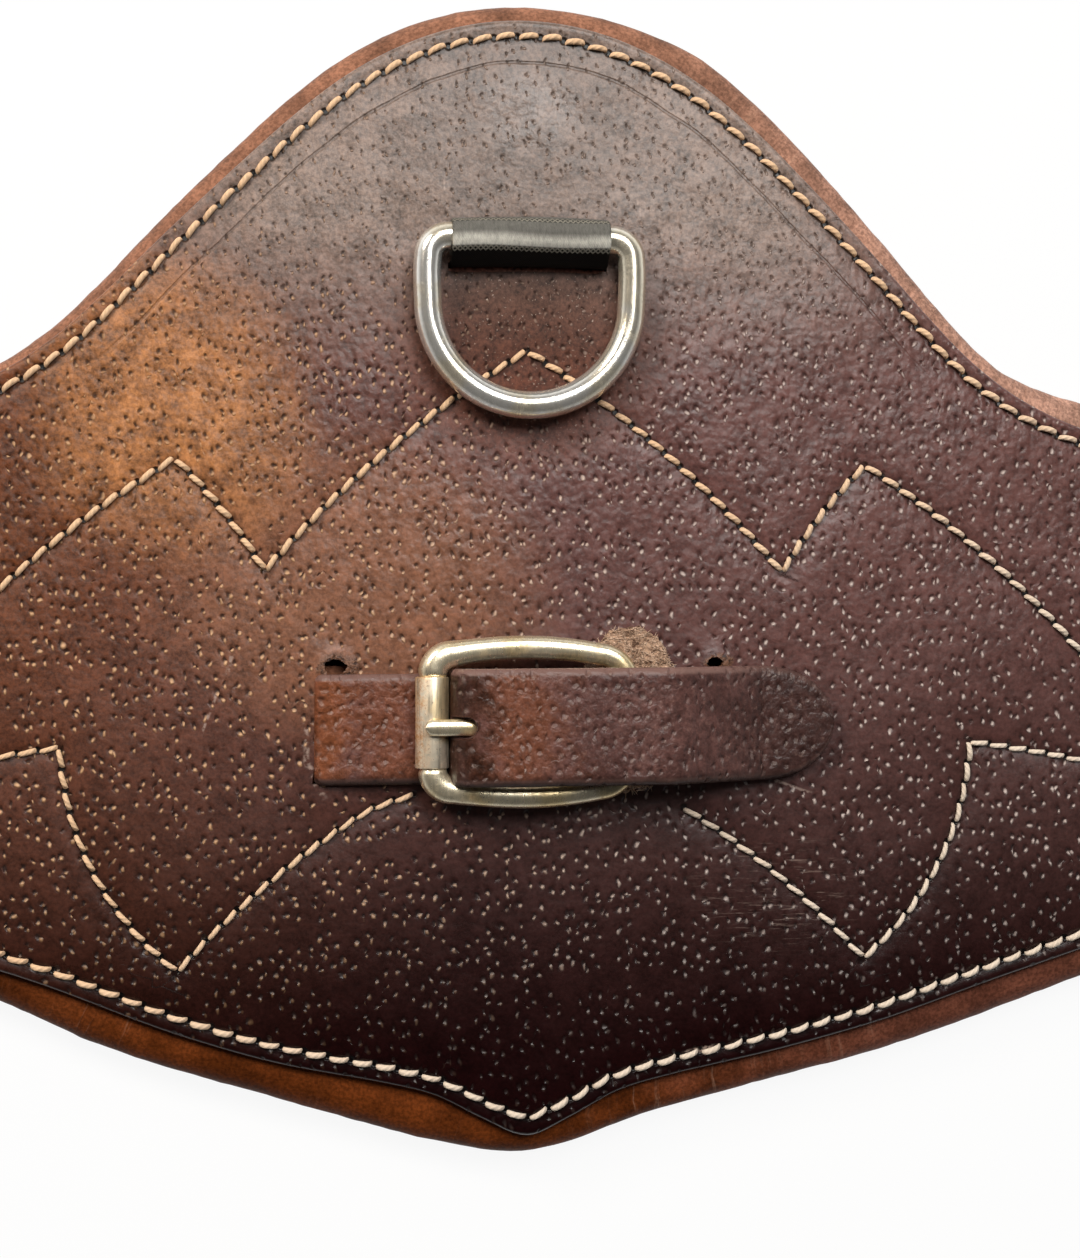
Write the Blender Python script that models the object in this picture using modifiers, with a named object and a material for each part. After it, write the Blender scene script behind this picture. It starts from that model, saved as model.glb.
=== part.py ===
# Belly-guard girth: a long padded leather strap that passes under a horse and holds the saddle,
# with a wide guard in the middle, a ring and a buckled keeper strap on the guard,
# and two elastic straps with roller buckles at each end.
# X runs along the girth, Y across it towards the rounded side of the guard, Z up out of the face.
# The origin is on the underside, at mid length, on the centreline of the arms.

import math

import bmesh
import bpy
from mathutils import Matrix, Vector

# Overall sizes, in metres
GIRTH_LENGTH = 1.350        # buckle end to buckle end
END_REACH = 0.123           # padded body's end to the outside of the end buckles
ARM_WIDTH = 0.090           # lining, edge to edge, at the ends
ARM_ROOT_WIDTH = 0.094      # the same, where the arms leave the guard
END_CORNER = 0.020          # radius of the body's four corners
LEAST_CORNER = 0.002        # tightest corner of the layers inside
FIT = 0.0003                # gap between pieces that rest on each other

# Layers, from the underside up
LINING_HEIGHT = 0.0121      # rolled lining, underside to lip
LINING_THICK = 0.0016
LIP_WIDTH = 0.013           # lining turned in under the face
ROLL_SHOWN = 0.0056         # lining that shows outside the face
WEBBING_WIDTH = 0.030
WEBBING_THICK = 0.0015
FACE_THICK = 0.0026

# Guard outline, right half: the face's rounded side, its pointed side and the lining below it
FACE_TOP = [(0.0, 0.1430), (0.020, 0.1396), (0.040, 0.1292), (0.060, 0.1118),
            (0.080, 0.0920), (0.100, 0.0722), (0.120, 0.0600), (0.160, 0.0490)]
FACE_BOTTOM = [(0.0, -0.0986), (0.009, -0.0950), (0.020, -0.0894), (0.032, -0.0862),
               (0.055, -0.0815), (0.080, -0.0752), (0.100, -0.0686), (0.120, -0.0622), (0.160, -0.0500)]
LINING_BOTTOM = [(0.0, -0.1043), (0.020, -0.1001), (0.051, -0.0912), (0.082, -0.0829),
                 (0.102, -0.0757), (0.122, -0.0686), (0.160, -0.0560)]
GUARD_HALF = 0.210          # where the guard has run out into the arms

# Sewing
THREAD_RADIUS = 0.0006
SEAM_INSET = 0.0032         # perimeter seam, in from the face's edge
CROWN_PEAK = (0.0, 0.0715)  # sewn figure on the guard, right half
CROWN_VALLEY = (0.0566, 0.0235)
CROWN_SIDE_PEAK = (0.0755, 0.0474)
CROWN_WING_TIP = (0.148, -0.0240)
CROWN_CORNER = (0.0996, -0.0140)
CROWN_FOOT = (0.0751, -0.0618)
CROWN_ARCH_END = (0.0345, -0.0280)
ARCH_RISE = 0.0058          # how far the curved lines of the figure leave their chords
ARCH_CLEAR = 0.0024         # left arch's end, which runs on to the buckle, from the strap's edge
BOX_SEAM_LENGTH = 0.024     # sewing that holds each elastic at the ends
BOX_SEAM_INSET = 0.0045     # in from the elastic's edges

# Ring and its elastic loop
RING_WIRE = 0.0060
RING_INNER_WIDTH = 0.038
RING_CORNER = 0.004
RING_DROP = 0.0359          # bar to the middle of the round end
RING_BAR_Y = 0.0951
LOOP_WIDTH = 0.034
LOOP_THICK = 0.0016
LOOP_SLOT_Y = 0.0882
LOOP_TAIL = 0.016

# Keeper strap and its buckle, in the middle of the guard
STRAP_WIDTH = 0.0250
STRAP_THICK = 0.0025
STRAP_Y = -0.0097
STRAP_TIP_X = 0.0672
STRAP_TIP_LENGTH = 0.016    # rounded part of the tip
STRAP_FOLD = 0.0020         # radius where it comes up through its slot
STRAP_SWEEP = 0.0100        # radius of its bends on the way down to the face
STRAP_LAND_X = 0.054        # where the free end comes down on the face
STRAP_SLOT_X = -0.0450
STRAP_TAIL = 0.022
CHAPE_SLOT_X = 0.0415
CHAPE_THICK = 0.0016
CHAPE_RETURN = 0.009        # chape's short end, past the heel bar
SLOT_OVERRUN = 0.0032       # slot beyond the strap's edge
SAFE_WIDTH = 0.0205
SAFE_HEIGHT = 0.0415
SAFE_THICK = 0.0016
KEEPER_WIRE = 0.0048
KEEPER_REACH = 0.0424       # heel bar to roller bar
KEEPER_HEEL_X = 0.0212
KEEPER_ROLLER = 0.0068
KEEPER_HEEL_CORNER = 0.0070
KEEPER_FRONT_CORNER = 0.0048
STRAP_SIDE_PLAY = 0.0005    # strap to buckle side, each side

# Elastic straps and roller buckles at the ends
ELASTIC_WIDTH = 0.030
ELASTIC_THICK = 0.0024
ELASTIC_INSERT = 0.046      # sewn length inside the body
ELASTIC_Y = 0.023           # centreline of each strap, either side of the girth's
ELASTIC_LEVEL = 0.014       # level run after the body's end
ELASTIC_BEND = 0.026        # radius of its two bends on the way down to the buckle
ELASTIC_LEAD = 0.004        # straight run before the chape
BUCKLE_WIRE = 0.0050
BUCKLE_INNER_WIDTH = 0.032
BUCKLE_REACH = 0.0360
BUCKLE_ROLLER = 0.0070
BUCKLE_CORNER = 0.0045
BUCKLE_CHAPE_THICK = 0.0018
BUCKLE_CHAPE_REACH = 0.030
BUCKLE_LIFT = 0.0006        # chape above the floor

# Buckle tongues
TONGUE_WIDTH = 0.0046
TONGUE_THICK = 0.0018
TONGUE_PLAY = 0.0008        # tongue to leather, each side
TONGUE_OVERHANG = 0.0020    # tip past the roller's middle
HOLE_ROOM = 0.0024          # room above the tongue in the keeper strap's hole

# Fineness of the curves
EDGE_STEP = 0.0100
ARC_STEPS = 6
ROUND_SIDES = 20

# Length of the padded body, and heights that follow from the layers
BODY_LENGTH = GIRTH_LENGTH - 2 * END_REACH
CAVITY_TOP = LINING_HEIGHT - LINING_THICK
FOAM_TOP = CAVITY_TOP - FIT
FACE_LOW = LINING_HEIGHT + FIT
FACE_HIGH = FACE_LOW + FACE_THICK
THREAD_Z = FACE_HIGH + FIT + THREAD_RADIUS
STRAP_TAIL_Z = FACE_LOW - FIT - STRAP_THICK / 2
CHAPE_TAIL_Z = FACE_LOW - FIT - CHAPE_THICK / 2
LOOP_TAIL_Z = FACE_LOW - FIT - LOOP_THICK / 2
ELASTIC_Z = FACE_LOW - FIT - ELASTIC_THICK / 2
WEBBING_HIGH = min(STRAP_TAIL_Z - STRAP_THICK / 2, ELASTIC_Z - ELASTIC_THICK / 2) - FIT

# Ring: its bar sits in the elastic loop, and its round end on the sewn figure
RING_RADIUS = RING_WIRE / 2
LOOP_MID_RADIUS = RING_RADIUS + FIT + LOOP_THICK / 2
RING_BAR_Z = FACE_HIGH + FIT + LOOP_THICK / 2 + LOOP_MID_RADIUS
RING_END_Z = THREAD_Z + THREAD_RADIUS + FIT + RING_RADIUS

# Keeper buckle: high enough for the strap under the roller and for the chape under the heel bar
STRAP_ON_FACE_Z = FACE_HIGH + FIT + STRAP_THICK / 2
ROLLER_WRAP = KEEPER_ROLLER / 2 + FIT + STRAP_THICK / 2
HEEL_WRAP = KEEPER_WIRE / 2 + FIT + CHAPE_THICK / 2
SAFE_HIGH = FACE_HIGH + FIT + SAFE_THICK
KEEPER_Z = max(STRAP_ON_FACE_Z + ROLLER_WRAP, SAFE_HIGH + FIT + CHAPE_THICK / 2 + HEEL_WRAP)
KEEPER_ROLLER_X = KEEPER_HEEL_X - KEEPER_REACH
KEEPER_INNER_WIDTH = STRAP_WIDTH + 2 * STRAP_SIDE_PLAY
KEEPER_TONGUE_TIP_Z = KEEPER_Z + KEEPER_ROLLER / 2 + FIT + TONGUE_THICK / 2
STRAP_OVER_Z = KEEPER_TONGUE_TIP_Z + TONGUE_THICK / 2 + FIT + STRAP_THICK / 2

# End buckles
BUCKLE_ROLLER_X = GIRTH_LENGTH / 2 - BUCKLE_ROLLER / 2
BUCKLE_HEEL_X = BUCKLE_ROLLER_X - BUCKLE_REACH
BUCKLE_WRAP = BUCKLE_WIRE / 2 + FIT + BUCKLE_CHAPE_THICK / 2
BUCKLE_Z = BUCKLE_LIFT + BUCKLE_WRAP + BUCKLE_CHAPE_THICK / 2

LEATHER = ("face_leather", (0.085, 0.046, 0.034), 0.45, 0.0)
STRAP_LEATHER = ("strap_leather", (0.095, 0.048, 0.034), 0.42, 0.0)
LINING = ("lining_leather", (0.19, 0.075, 0.040), 0.50, 0.0)
SUEDE = ("flesh_side_leather", (0.20, 0.115, 0.07), 0.95, 0.0)
FOAM = ("foam", (0.72, 0.68, 0.58), 0.95, 0.0)
WEBBING = ("nylon_webbing", (0.05, 0.05, 0.05), 0.85, 0.0)
BOARD = ("fibre_board", (0.30, 0.20, 0.12), 0.90, 0.0)
THREAD = ("linen_thread", (0.62, 0.47, 0.33), 0.80, 0.0)
BLACK_ELASTIC = ("black_elastic", (0.012, 0.012, 0.012), 0.80, 0.0)
STEEL = ("stainless_steel", (0.62, 0.60, 0.55), 0.22, 1.0)


# Scene, collections and materials
def clear_scene():
    for old in list(bpy.data.objects):
        bpy.data.objects.remove(old)


def collection(name):
    made = bpy.data.collections.new(name)
    bpy.context.scene.collection.children.link(made)
    return made


def finish_of(recipe):
    name, colour, roughness, metallic = recipe
    made = bpy.data.materials.get(name)
    if made is None:
        made = bpy.data.materials.new(name)
        made.use_nodes = True
        shader = made.node_tree.nodes["Principled BSDF"]
        shader.inputs["Base Color"].default_value = (*colour, 1.0)
        shader.inputs["Roughness"].default_value = roughness
        shader.inputs["Metallic"].default_value = metallic
    return made


def add_part(name, data, recipe):
    made = bpy.data.objects.new(name, data)
    PARTS.objects.link(made)
    data.materials.append(finish_of(recipe))
    return made


# Plane curves, as lists of (u, v)
def smooth_edge(half_points, end_height):
    # Cubic through a right half and its mirror image, level where it meets the arms.
    right = [*half_points, (GUARD_HALF, end_height)]
    knots = [(-u, v) for u, v in reversed(right[1:])] + right
    slopes = [0.0]
    for before, after in zip(knots, knots[2:]):
        slopes.append((after[1] - before[1]) / (after[0] - before[0]))
    slopes.append(0.0)
    line = [knots[0]]
    for (low, high, low_slope, high_slope) in zip(knots, knots[1:], slopes, slopes[1:]):
        span = high[0] - low[0]
        count = max(1, round(span / EDGE_STEP))
        for i in range(1, count + 1):
            t = i / count
            value = (low[1] * (1 + 2 * t) * (1 - t) ** 2 + high[1] * t * t * (3 - 2 * t)
                     + span * (low_slope * t * (1 - t) ** 2 - high_slope * t * t * (1 - t)))
            line.append((low[0] + span * t, value))
    return line


def arc(centre, radius, start, end, steps=ARC_STEPS):
    turns = [math.radians(start + (end - start) * i / steps) for i in range(steps + 1)]
    return [(centre[0] + radius * math.cos(a), centre[1] + radius * math.sin(a)) for a in turns]


def rounded(corners, radius, closed=False, steps=ARC_STEPS):
    # Straight runs joined by arcs. A radius can be one number, or one for each corner.
    count = len(corners)
    radii = radius if isinstance(radius, (list, tuple)) else [radius] * count
    line = []
    for i, corner in enumerate(corners):
        if not closed and i in (0, count - 1):
            line.append(tuple(corner))
            continue
        here = Vector(corner)
        back = Vector(corners[i - 1]) - here
        ahead = Vector(corners[(i + 1) % count]) - here
        half_turn = (math.pi - back.angle(ahead)) / 2
        if half_turn < 1e-4 or radii[i] <= 0:
            line.append(tuple(corner))
            continue
        cut = min(radii[i] * math.tan(half_turn), back.length * 0.499, ahead.length * 0.499)
        bend = cut / math.tan(half_turn)
        inward = (back.normalized() + ahead.normalized()).normalized()
        centre = here + inward * math.hypot(cut, bend)
        first = here + back.normalized() * cut - centre
        turn = first.angle_signed(here + ahead.normalized() * cut - centre)
        for step in range(steps + 1):
            line.append(tuple(centre + Matrix.Rotation(-turn * step / steps, 2) @ first))
    return line


def offset_line(line, distance, closed=False):
    # The line moved to its left by a distance, with mitred corners.
    count = len(line)
    moved = []
    for i, point in enumerate(line):
        before = line[i - 1] if closed or i > 0 else point
        after = line[(i + 1) % count] if closed or i < count - 1 else point
        sides = []
        for low, high in ((before, point), (point, after)):
            run = Vector(high) - Vector(low)
            if run.length > 1e-9:
                sides.append(Vector((-run.y, run.x)).normalized())
        normal = sum(sides, Vector((0.0, 0.0))).normalized()
        stretch = 1 / max(0.5, normal.dot(sides[0]))
        moved.append(tuple(Vector(point) + normal * distance * stretch))
    return moved


def curved(start, end, rise, steps=ARC_STEPS):
    # A shallow parabola from start to end that leaves its chord by rise, to the left.
    low, high = Vector(start), Vector(end)
    run = high - low
    left = Vector((-run.y, run.x)).normalized()
    shares = [i / steps for i in range(steps + 1)]
    return [tuple(low + run * t + left * rise * 4 * t * (1 - t)) for t in shares]


def joined(*lines):
    whole = []
    for line in lines:
        for point in line:
            if not whole or (Vector(point) - Vector(whole[-1])).length > 1e-6:
                whole.append(tuple(point))
    return whole


def mirrored(line):
    return [(-u, v) for u, v in reversed(line)]


def body_outline(bottom, top, half_length, corner, half_width):
    # Counter-clockwise outline of the whole body from its two long edges.
    reach, side = half_length - corner, half_width - corner
    return joined(
        bottom,
        arc((reach, -side), corner, -90, 0), arc((reach, side), corner, 0, 90),
        list(reversed(top)),
        arc((-reach, side), corner, 90, 180), arc((-reach, -side), corner, 180, 270))


# Solids
def as_mesh(part):
    # A curve object made a mesh, with its loose caps welded.
    graph = bpy.context.evaluated_depsgraph_get()
    mesh = bpy.data.meshes.new_from_object(part.evaluated_get(graph))
    name, place, home = part.name, part.matrix_world.copy(), part.users_collection[0]
    bpy.data.objects.remove(part)
    shape = bmesh.new()
    shape.from_mesh(mesh)
    bmesh.ops.remove_doubles(shape, verts=shape.verts, dist=1e-6)
    bmesh.ops.recalc_face_normals(shape, faces=shape.faces)
    shape.to_mesh(mesh)
    shape.free()
    made = bpy.data.objects.new(name, mesh)
    made.matrix_world = place
    home.objects.link(made)
    bpy.context.view_layer.update()
    return made


def flat_curve(name, outline, half_depth):
    data = bpy.data.curves.new(name, "CURVE")
    data.dimensions = "2D"
    data.fill_mode = "BOTH"
    data.extrude = half_depth
    spline = data.splines.new("POLY")
    spline.points.add(len(outline) - 1)
    for knot, (u, v) in zip(spline.points, outline):
        knot.co = (u, v, 0.0, 1.0)
    spline.use_cyclic_u = True
    return data


def slab(name, recipe, outline, low, high, edge_round=0.0):
    # A flat outline given a thickness, with its edges rounded by edge_round.
    data = flat_curve(name, outline, (high - low) / 2 - edge_round)
    data.bevel_depth = edge_round
    data.bevel_resolution = 1
    data.offset = -edge_round
    made = add_part(name, data, recipe)
    made.location.z = (low + high) / 2
    bpy.context.view_layer.update()
    return as_mesh(made)


def ribbon(name, recipe, path, thickness, width, across, along_x=True):
    # A strip of leather, web or metal that follows a path in an upright plane.
    left = offset_line(path, thickness / 2)
    right = offset_line(path, -thickness / 2)
    data = flat_curve(name, right + list(reversed(left)), width / 2)
    made = add_part(name, data, recipe)
    upright = Matrix.Rotation(math.pi / 2, 4, "X")
    if along_x:
        made.matrix_world = Matrix.Translation((0, across, 0)) @ upright
    else:
        sideways = Matrix.Rotation(math.pi / 2, 4, "Z")
        made.matrix_world = Matrix.Translation((across, 0, 0)) @ sideways @ upright
    bpy.context.view_layer.update()
    return as_mesh(made)


def tube(name, recipe, points, radius, closed=False, resolution=2):
    data = bpy.data.curves.new(name, "CURVE")
    data.dimensions = "3D"
    data.bevel_depth = radius
    data.bevel_resolution = resolution
    data.use_fill_caps = True
    spline = data.splines.new("POLY")
    spline.points.add(len(points) - 1)
    for knot, point in zip(spline.points, points):
        knot.co = (*point, 1.0)
    spline.use_cyclic_u = closed
    made = add_part(name, data, recipe)
    return as_mesh(made)


def box_cutter(low, high):
    bpy.ops.mesh.primitive_cube_add(size=1.0)
    made = bpy.context.object
    made.scale = [b - a for a, b in zip(low, high)]
    made.location = [(a + b) / 2 for a, b in zip(low, high)]
    bpy.ops.object.transform_apply(location=False, rotation=False, scale=True)
    return as_cutter(made)


def as_cutter(made):
    for home in list(made.users_collection):
        home.objects.unlink(made)
    CUTTERS.objects.link(made)
    made.hide_render = True
    made.display_type = "WIRE"
    return made


def cut(part, *cutters):
    for cutter in cutters:
        step = part.modifiers.new("cut", "BOOLEAN")
        step.operation = "DIFFERENCE"
        step.object = cutter


def round_edges(part, width, segments=2):
    step = part.modifiers.new("round", "BEVEL")
    step.width = width
    step.segments = segments
    step.limit_method = "ANGLE"
    step.angle_limit = math.radians(60)


def smooth(part):
    part.data.shade_smooth()
    part.data.set_sharp_from_angle(angle=math.radians(40))
    return part


def set_origin(part, pivot):
    # Moves the object's origin to a point on its joint's axis, with the shape left where it is.
    part.data.transform(Matrix.Translation(Vector(pivot)).inverted() @ part.matrix_world)
    part.matrix_world = Matrix.Translation(pivot)


# Padded body
def face_lines():
    half = ARM_ROOT_WIDTH / 2 - ROLL_SHOWN
    return smooth_edge(FACE_BOTTOM, -half), smooth_edge(FACE_TOP, half)


def lining_lines():
    top = offset_line(face_lines()[1], ROLL_SHOWN)
    return smooth_edge(LINING_BOTTOM, -ARM_ROOT_WIDTH / 2), top


def face_outline():
    bottom, top = face_lines()
    return body_outline(bottom, top, BODY_LENGTH / 2 - ROLL_SHOWN, END_CORNER - ROLL_SHOWN,
                        ARM_WIDTH / 2 - ROLL_SHOWN)


def lining_outline():
    bottom, top = lining_lines()
    return body_outline(bottom, top, BODY_LENGTH / 2, END_CORNER, ARM_WIDTH / 2)


def interlining_outline():
    # Inside the lining's lip, and short of the elastics.
    bottom, top = lining_lines()
    inset = LIP_WIDTH + FIT
    half_length = BODY_LENGTH / 2 - ELASTIC_INSERT - 2 * FIT
    return body_outline(offset_line(bottom, inset), offset_line(top, -inset), half_length,
                        max(END_CORNER - inset, LEAST_CORNER), ARM_WIDTH / 2 - inset)


def elastic_pockets():
    # Room for the four elastic straps, from their sewn ends to past the body's end.
    made = []
    inner = BODY_LENGTH / 2 - ELASTIC_INSERT - FIT
    outer = BODY_LENGTH / 2 + ELASTIC_LEVEL
    low = ELASTIC_Z - ELASTIC_THICK / 2 - FIT
    for side in (-1, 1):
        for row in (-1, 1):
            ends = sorted((side * inner, side * outer))
            across = (row * ELASTIC_Y - ELASTIC_WIDTH / 2 - FIT, row * ELASTIC_Y + ELASTIC_WIDTH / 2 + FIT)
            made.append(box_cutter((ends[0], across[0], low), (ends[1], across[1], FACE_LOW)))
    return made


def strap_pockets():
    # Room under the face for the sewn tails of the keeper strap, the chape and the ring's loop.
    wide = STRAP_WIDTH / 2 + FIT
    strap = box_cutter((STRAP_SLOT_X - STRAP_THICK, STRAP_Y - wide, STRAP_TAIL_Z - STRAP_THICK / 2 - FIT),
                       (STRAP_SLOT_X + STRAP_TAIL + FIT, STRAP_Y + wide, FACE_LOW))
    wide = chape_width() / 2 + FIT
    chape = box_cutter((CHAPE_SLOT_X - STRAP_TAIL - FIT, STRAP_Y - wide,
                        CHAPE_TAIL_Z - CHAPE_THICK / 2 - FIT),
                       (CHAPE_SLOT_X + CHAPE_THICK, STRAP_Y + wide, FACE_LOW))
    wide = LOOP_WIDTH / 2 + FIT
    reach = LOOP_TAIL + LOOP_THICK / 2 + 2 * FIT
    loop = box_cutter((-wide, LOOP_SLOT_Y - reach, LOOP_TAIL_Z - LOOP_THICK / 2 - FIT),
                      (wide, LOOP_SLOT_Y + reach, FACE_LOW))
    return [strap, chape, loop]


def webbing_size():
    # Half length, half width and the two heights of the webbing.
    half_length = BODY_LENGTH / 2 - ELASTIC_INSERT / 4
    return half_length, WEBBING_WIDTH / 2, WEBBING_HIGH - WEBBING_THICK, WEBBING_HIGH


def chape_width():
    return 2 * (KEEPER_INNER_WIDTH / 2 + KEEPER_WIRE / 2 - KEEPER_HEEL_CORNER) - 2 * FIT


def make_body(pockets, tails):
    half_length, half_width, low, high = webbing_size()
    channel = box_cutter((-half_length - FIT, -half_width - FIT, low - FIT),
                         (half_length + FIT, half_width + FIT, FACE_LOW))
    outline = lining_outline()

    lining = slab("lining_leather", LINING, outline, 0.0, LINING_HEIGHT, LINING_HEIGHT / 2)
    inside = offset_line(outline, LINING_THICK, closed=True)
    cavity_round = (CAVITY_TOP - LINING_THICK) / 2
    cavity = as_cutter(slab("cavity", FOAM, inside, LINING_THICK, CAVITY_TOP, cavity_round))
    mouth = offset_line(outline, LIP_WIDTH, closed=True)
    opening = as_cutter(slab("mouth", FOAM, mouth, (LINING_THICK + CAVITY_TOP) / 2, FACE_HIGH))
    cut(lining, cavity, opening, *pockets)
    smooth(lining)

    filling = offset_line(outline, LINING_THICK + FIT, closed=True)
    foam_low = LINING_THICK + FIT
    foam = slab("foam_pad", FOAM, filling, foam_low, FOAM_TOP, (FOAM_TOP - foam_low) / 2)
    cut(foam, channel, *pockets, *tails)

    strip = [(-half_length, -half_width), (half_length, -half_width),
             (half_length, half_width), (-half_length, half_width)]
    webbing = slab("core_webbing", WEBBING, strip, low, high)
    round_edges(webbing, WEBBING_THICK / 4, 1)

    board = slab("interlining", BOARD, interlining_outline(), CAVITY_TOP, LINING_HEIGHT)
    cut(board, *tails)

    face = slab("face_leather", LEATHER, face_outline(), FACE_LOW, FACE_HIGH)
    cut(face, *face_slots())
    smooth(face)


def face_slots():
    # Cuts in the face for the keeper strap, its chape and the two layers of the ring's loop.
    made = []
    reach = STRAP_WIDTH / 2 + SLOT_OVERRUN
    for x, thick in ((STRAP_SLOT_X, STRAP_THICK), (CHAPE_SLOT_X, CHAPE_THICK)):
        half = thick / 2 + FIT
        made.append(box_cutter((x - half, STRAP_Y - reach, 0), (x + half, STRAP_Y + reach, 2 * FACE_HIGH)))
    half = LOOP_THICK + 1.5 * FIT
    reach = LOOP_WIDTH / 2 + FIT
    made.append(box_cutter((-reach, LOOP_SLOT_Y - half, 0), (reach, LOOP_SLOT_Y + half, 2 * FACE_HIGH)))
    return made


# Sewing threads
def crown_line():
    # Right half of the sewn figure, from the buckle round to its middle peak.
    arch = curved(CROWN_ARCH_END, CROWN_FOOT, ARCH_RISE / 3)
    foot = curved(CROWN_FOOT, CROWN_CORNER, -ARCH_RISE)
    hem = curved(CROWN_CORNER, CROWN_WING_TIP, ARCH_RISE / 6)
    wing = curved(CROWN_WING_TIP, CROWN_SIDE_PEAK, -ARCH_RISE)
    notch = curved(CROWN_SIDE_PEAK, CROWN_VALLEY, -ARCH_RISE / 6)
    crest = curved(CROWN_VALLEY, CROWN_PEAK, -ARCH_RISE / 2)
    return joined(arch, foot, hem, wing, notch, crest)


def make_seams():
    inset = offset_line(face_outline(), SEAM_INSET, closed=True)
    tube("perimeter_seam", THREAD, [(u, v, THREAD_Z) for u, v in inset], THREAD_RADIUS,
         closed=True, resolution=0)
    right = crown_line()
    arch_lead = (KEEPER_ROLLER_X - KEEPER_ROLLER / 2, STRAP_Y - STRAP_WIDTH / 2 - ARCH_CLEAR)
    figure = joined(right, mirrored(right), [arch_lead])
    tube("figure_seam", THREAD, [(u, v, THREAD_Z) for u, v in figure], THREAD_RADIUS, resolution=0)
    for side, side_name in ((-1, "left"), (1, "right")):
        for row, row_name in ((-1, "lower"), (1, "upper")):
            middle = side * (BODY_LENGTH / 2 - ELASTIC_INSERT + BOX_SEAM_INSET + BOX_SEAM_LENGTH / 2)
            wide = ELASTIC_WIDTH / 2 - BOX_SEAM_INSET
            ends = (middle - BOX_SEAM_LENGTH / 2, middle + BOX_SEAM_LENGTH / 2)
            corners = [(ends[0], row * ELASTIC_Y - wide), (ends[1], row * ELASTIC_Y - wide),
                       (ends[1], row * ELASTIC_Y + wide), (ends[0], row * ELASTIC_Y + wide)]
            line = rounded(corners, THREAD_RADIUS * 4, closed=True, steps=2)
            tube(f"box_seam_{side_name}_{row_name}", THREAD, [(u, v, THREAD_Z) for u, v in line],
                 THREAD_RADIUS, closed=True, resolution=0)


# Ring and its loop
def make_ring():
    half = RING_INNER_WIDTH / 2 + RING_RADIUS
    arm_end = -(RING_DROP - half)
    bar = rounded([(0.0, 0.0), (-half, 0.0), (-half, arm_end)], RING_CORNER)
    line = joined(bar, arc((0.0, arm_end), half, 180, 360, 3 * ARC_STEPS), mirrored(bar)[:-1])
    ring = tube("d_ring", STEEL, [(u, v, 0.0) for u, v in line], RING_RADIUS, closed=True)
    tilt = math.asin((RING_BAR_Z - RING_END_Z) / RING_DROP)
    ring.matrix_world = Matrix.Translation((0, RING_BAR_Y, RING_BAR_Z)) @ Matrix.Rotation(tilt, 4, "X")
    smooth(ring)

    half_gap = (LOOP_THICK + FIT) / 2
    near, far = LOOP_SLOT_Y - half_gap, LOOP_SLOT_Y + half_gap
    bend = LOOP_THICK
    climb = rounded([(near - LOOP_TAIL, LOOP_TAIL_Z), (near, LOOP_TAIL_Z), (near, FACE_HIGH + LOOP_THICK)],
                    bend, steps=3)
    wrap = arc((RING_BAR_Y, RING_BAR_Z), LOOP_MID_RADIUS, 140, -90, 2 * ARC_STEPS)
    under = FACE_HIGH + FIT + LOOP_THICK / 2
    back = rounded([(RING_BAR_Y, under), (far, under), (far, LOOP_TAIL_Z), (far + LOOP_TAIL, LOOP_TAIL_Z)],
                   bend, steps=3)
    path = joined(climb, wrap, back)
    ribbon("d_ring_elastic", BLACK_ELASTIC, path, LOOP_THICK, LOOP_WIDTH, 0.0, along_x=False)


# Buckles
def buckle_frame(name, heel_x, roller_x, centre_y, height, inner_width, wire, heel_corner, front_corner):
    half = inner_width / 2 + wire / 2
    corners = [(heel_x, centre_y - half), (roller_x, centre_y - half),
               (roller_x, centre_y + half), (heel_x, centre_y + half)]
    line = rounded(corners, [heel_corner, front_corner, front_corner, heel_corner], closed=True, steps=4)
    frame = tube(name, STEEL, [(u, v, height) for u, v in line], wire / 2, closed=True)
    set_origin(frame, (heel_x, centre_y, height))
    return smooth(frame)


def buckle_roller(name, x, centre_y, height, length, outer, wire):
    # Turned sleeve, running free on the buckle's front bar.
    mesh = bpy.data.meshes.new(name)
    shape = bmesh.new()
    bore = wire / 2 + FIT
    profile = [(outer / 2, length / 2), (outer / 2, -length / 2), (bore, -length / 2), (bore, length / 2)]
    points = [shape.verts.new((radius, 0.0, along)) for radius, along in profile]
    for i, point in enumerate(points):
        shape.edges.new((point, points[(i + 1) % len(points)]))
    shape.to_mesh(mesh)
    shape.free()
    roller = add_part(name, mesh, STEEL)
    turn = roller.modifiers.new("turn", "SCREW")
    turn.steps = turn.render_steps = ROUND_SIDES
    turn.use_merge_vertices = True
    turn.merge_threshold = 0.00001
    turn.use_smooth_shade = False
    roller.matrix_world = Matrix.Translation((x, centre_y, height)) @ Matrix.Rotation(math.pi / 2, 4, "X")
    return roller


def buckle_tongue(name, heel_x, roller_x, centre_y, height, wire, roller):
    # A flat prong bent round the heel bar, with its tip on the roller.
    way = 1 if roller_x > heel_x else -1
    wrap = wire / 2 + FIT + TONGUE_THICK / 2
    tip_z = height + roller / 2 + FIT + TONGUE_THICK / 2
    eye = arc((0.0, height), wrap, -45, -270, 2 * ARC_STEPS)
    reach = abs(roller_x - heel_x)
    path = joined(eye, [(reach - roller, tip_z), (reach + TONGUE_OVERHANG, tip_z)])
    path = [(heel_x + way * u, v) for u, v in path]
    tongue = ribbon(name, STEEL, path, TONGUE_THICK, TONGUE_WIDTH, centre_y)
    set_origin(tongue, (heel_x, centre_y, height))
    round_edges(tongue, TONGUE_THICK / 4, 1)
    return tongue


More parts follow.
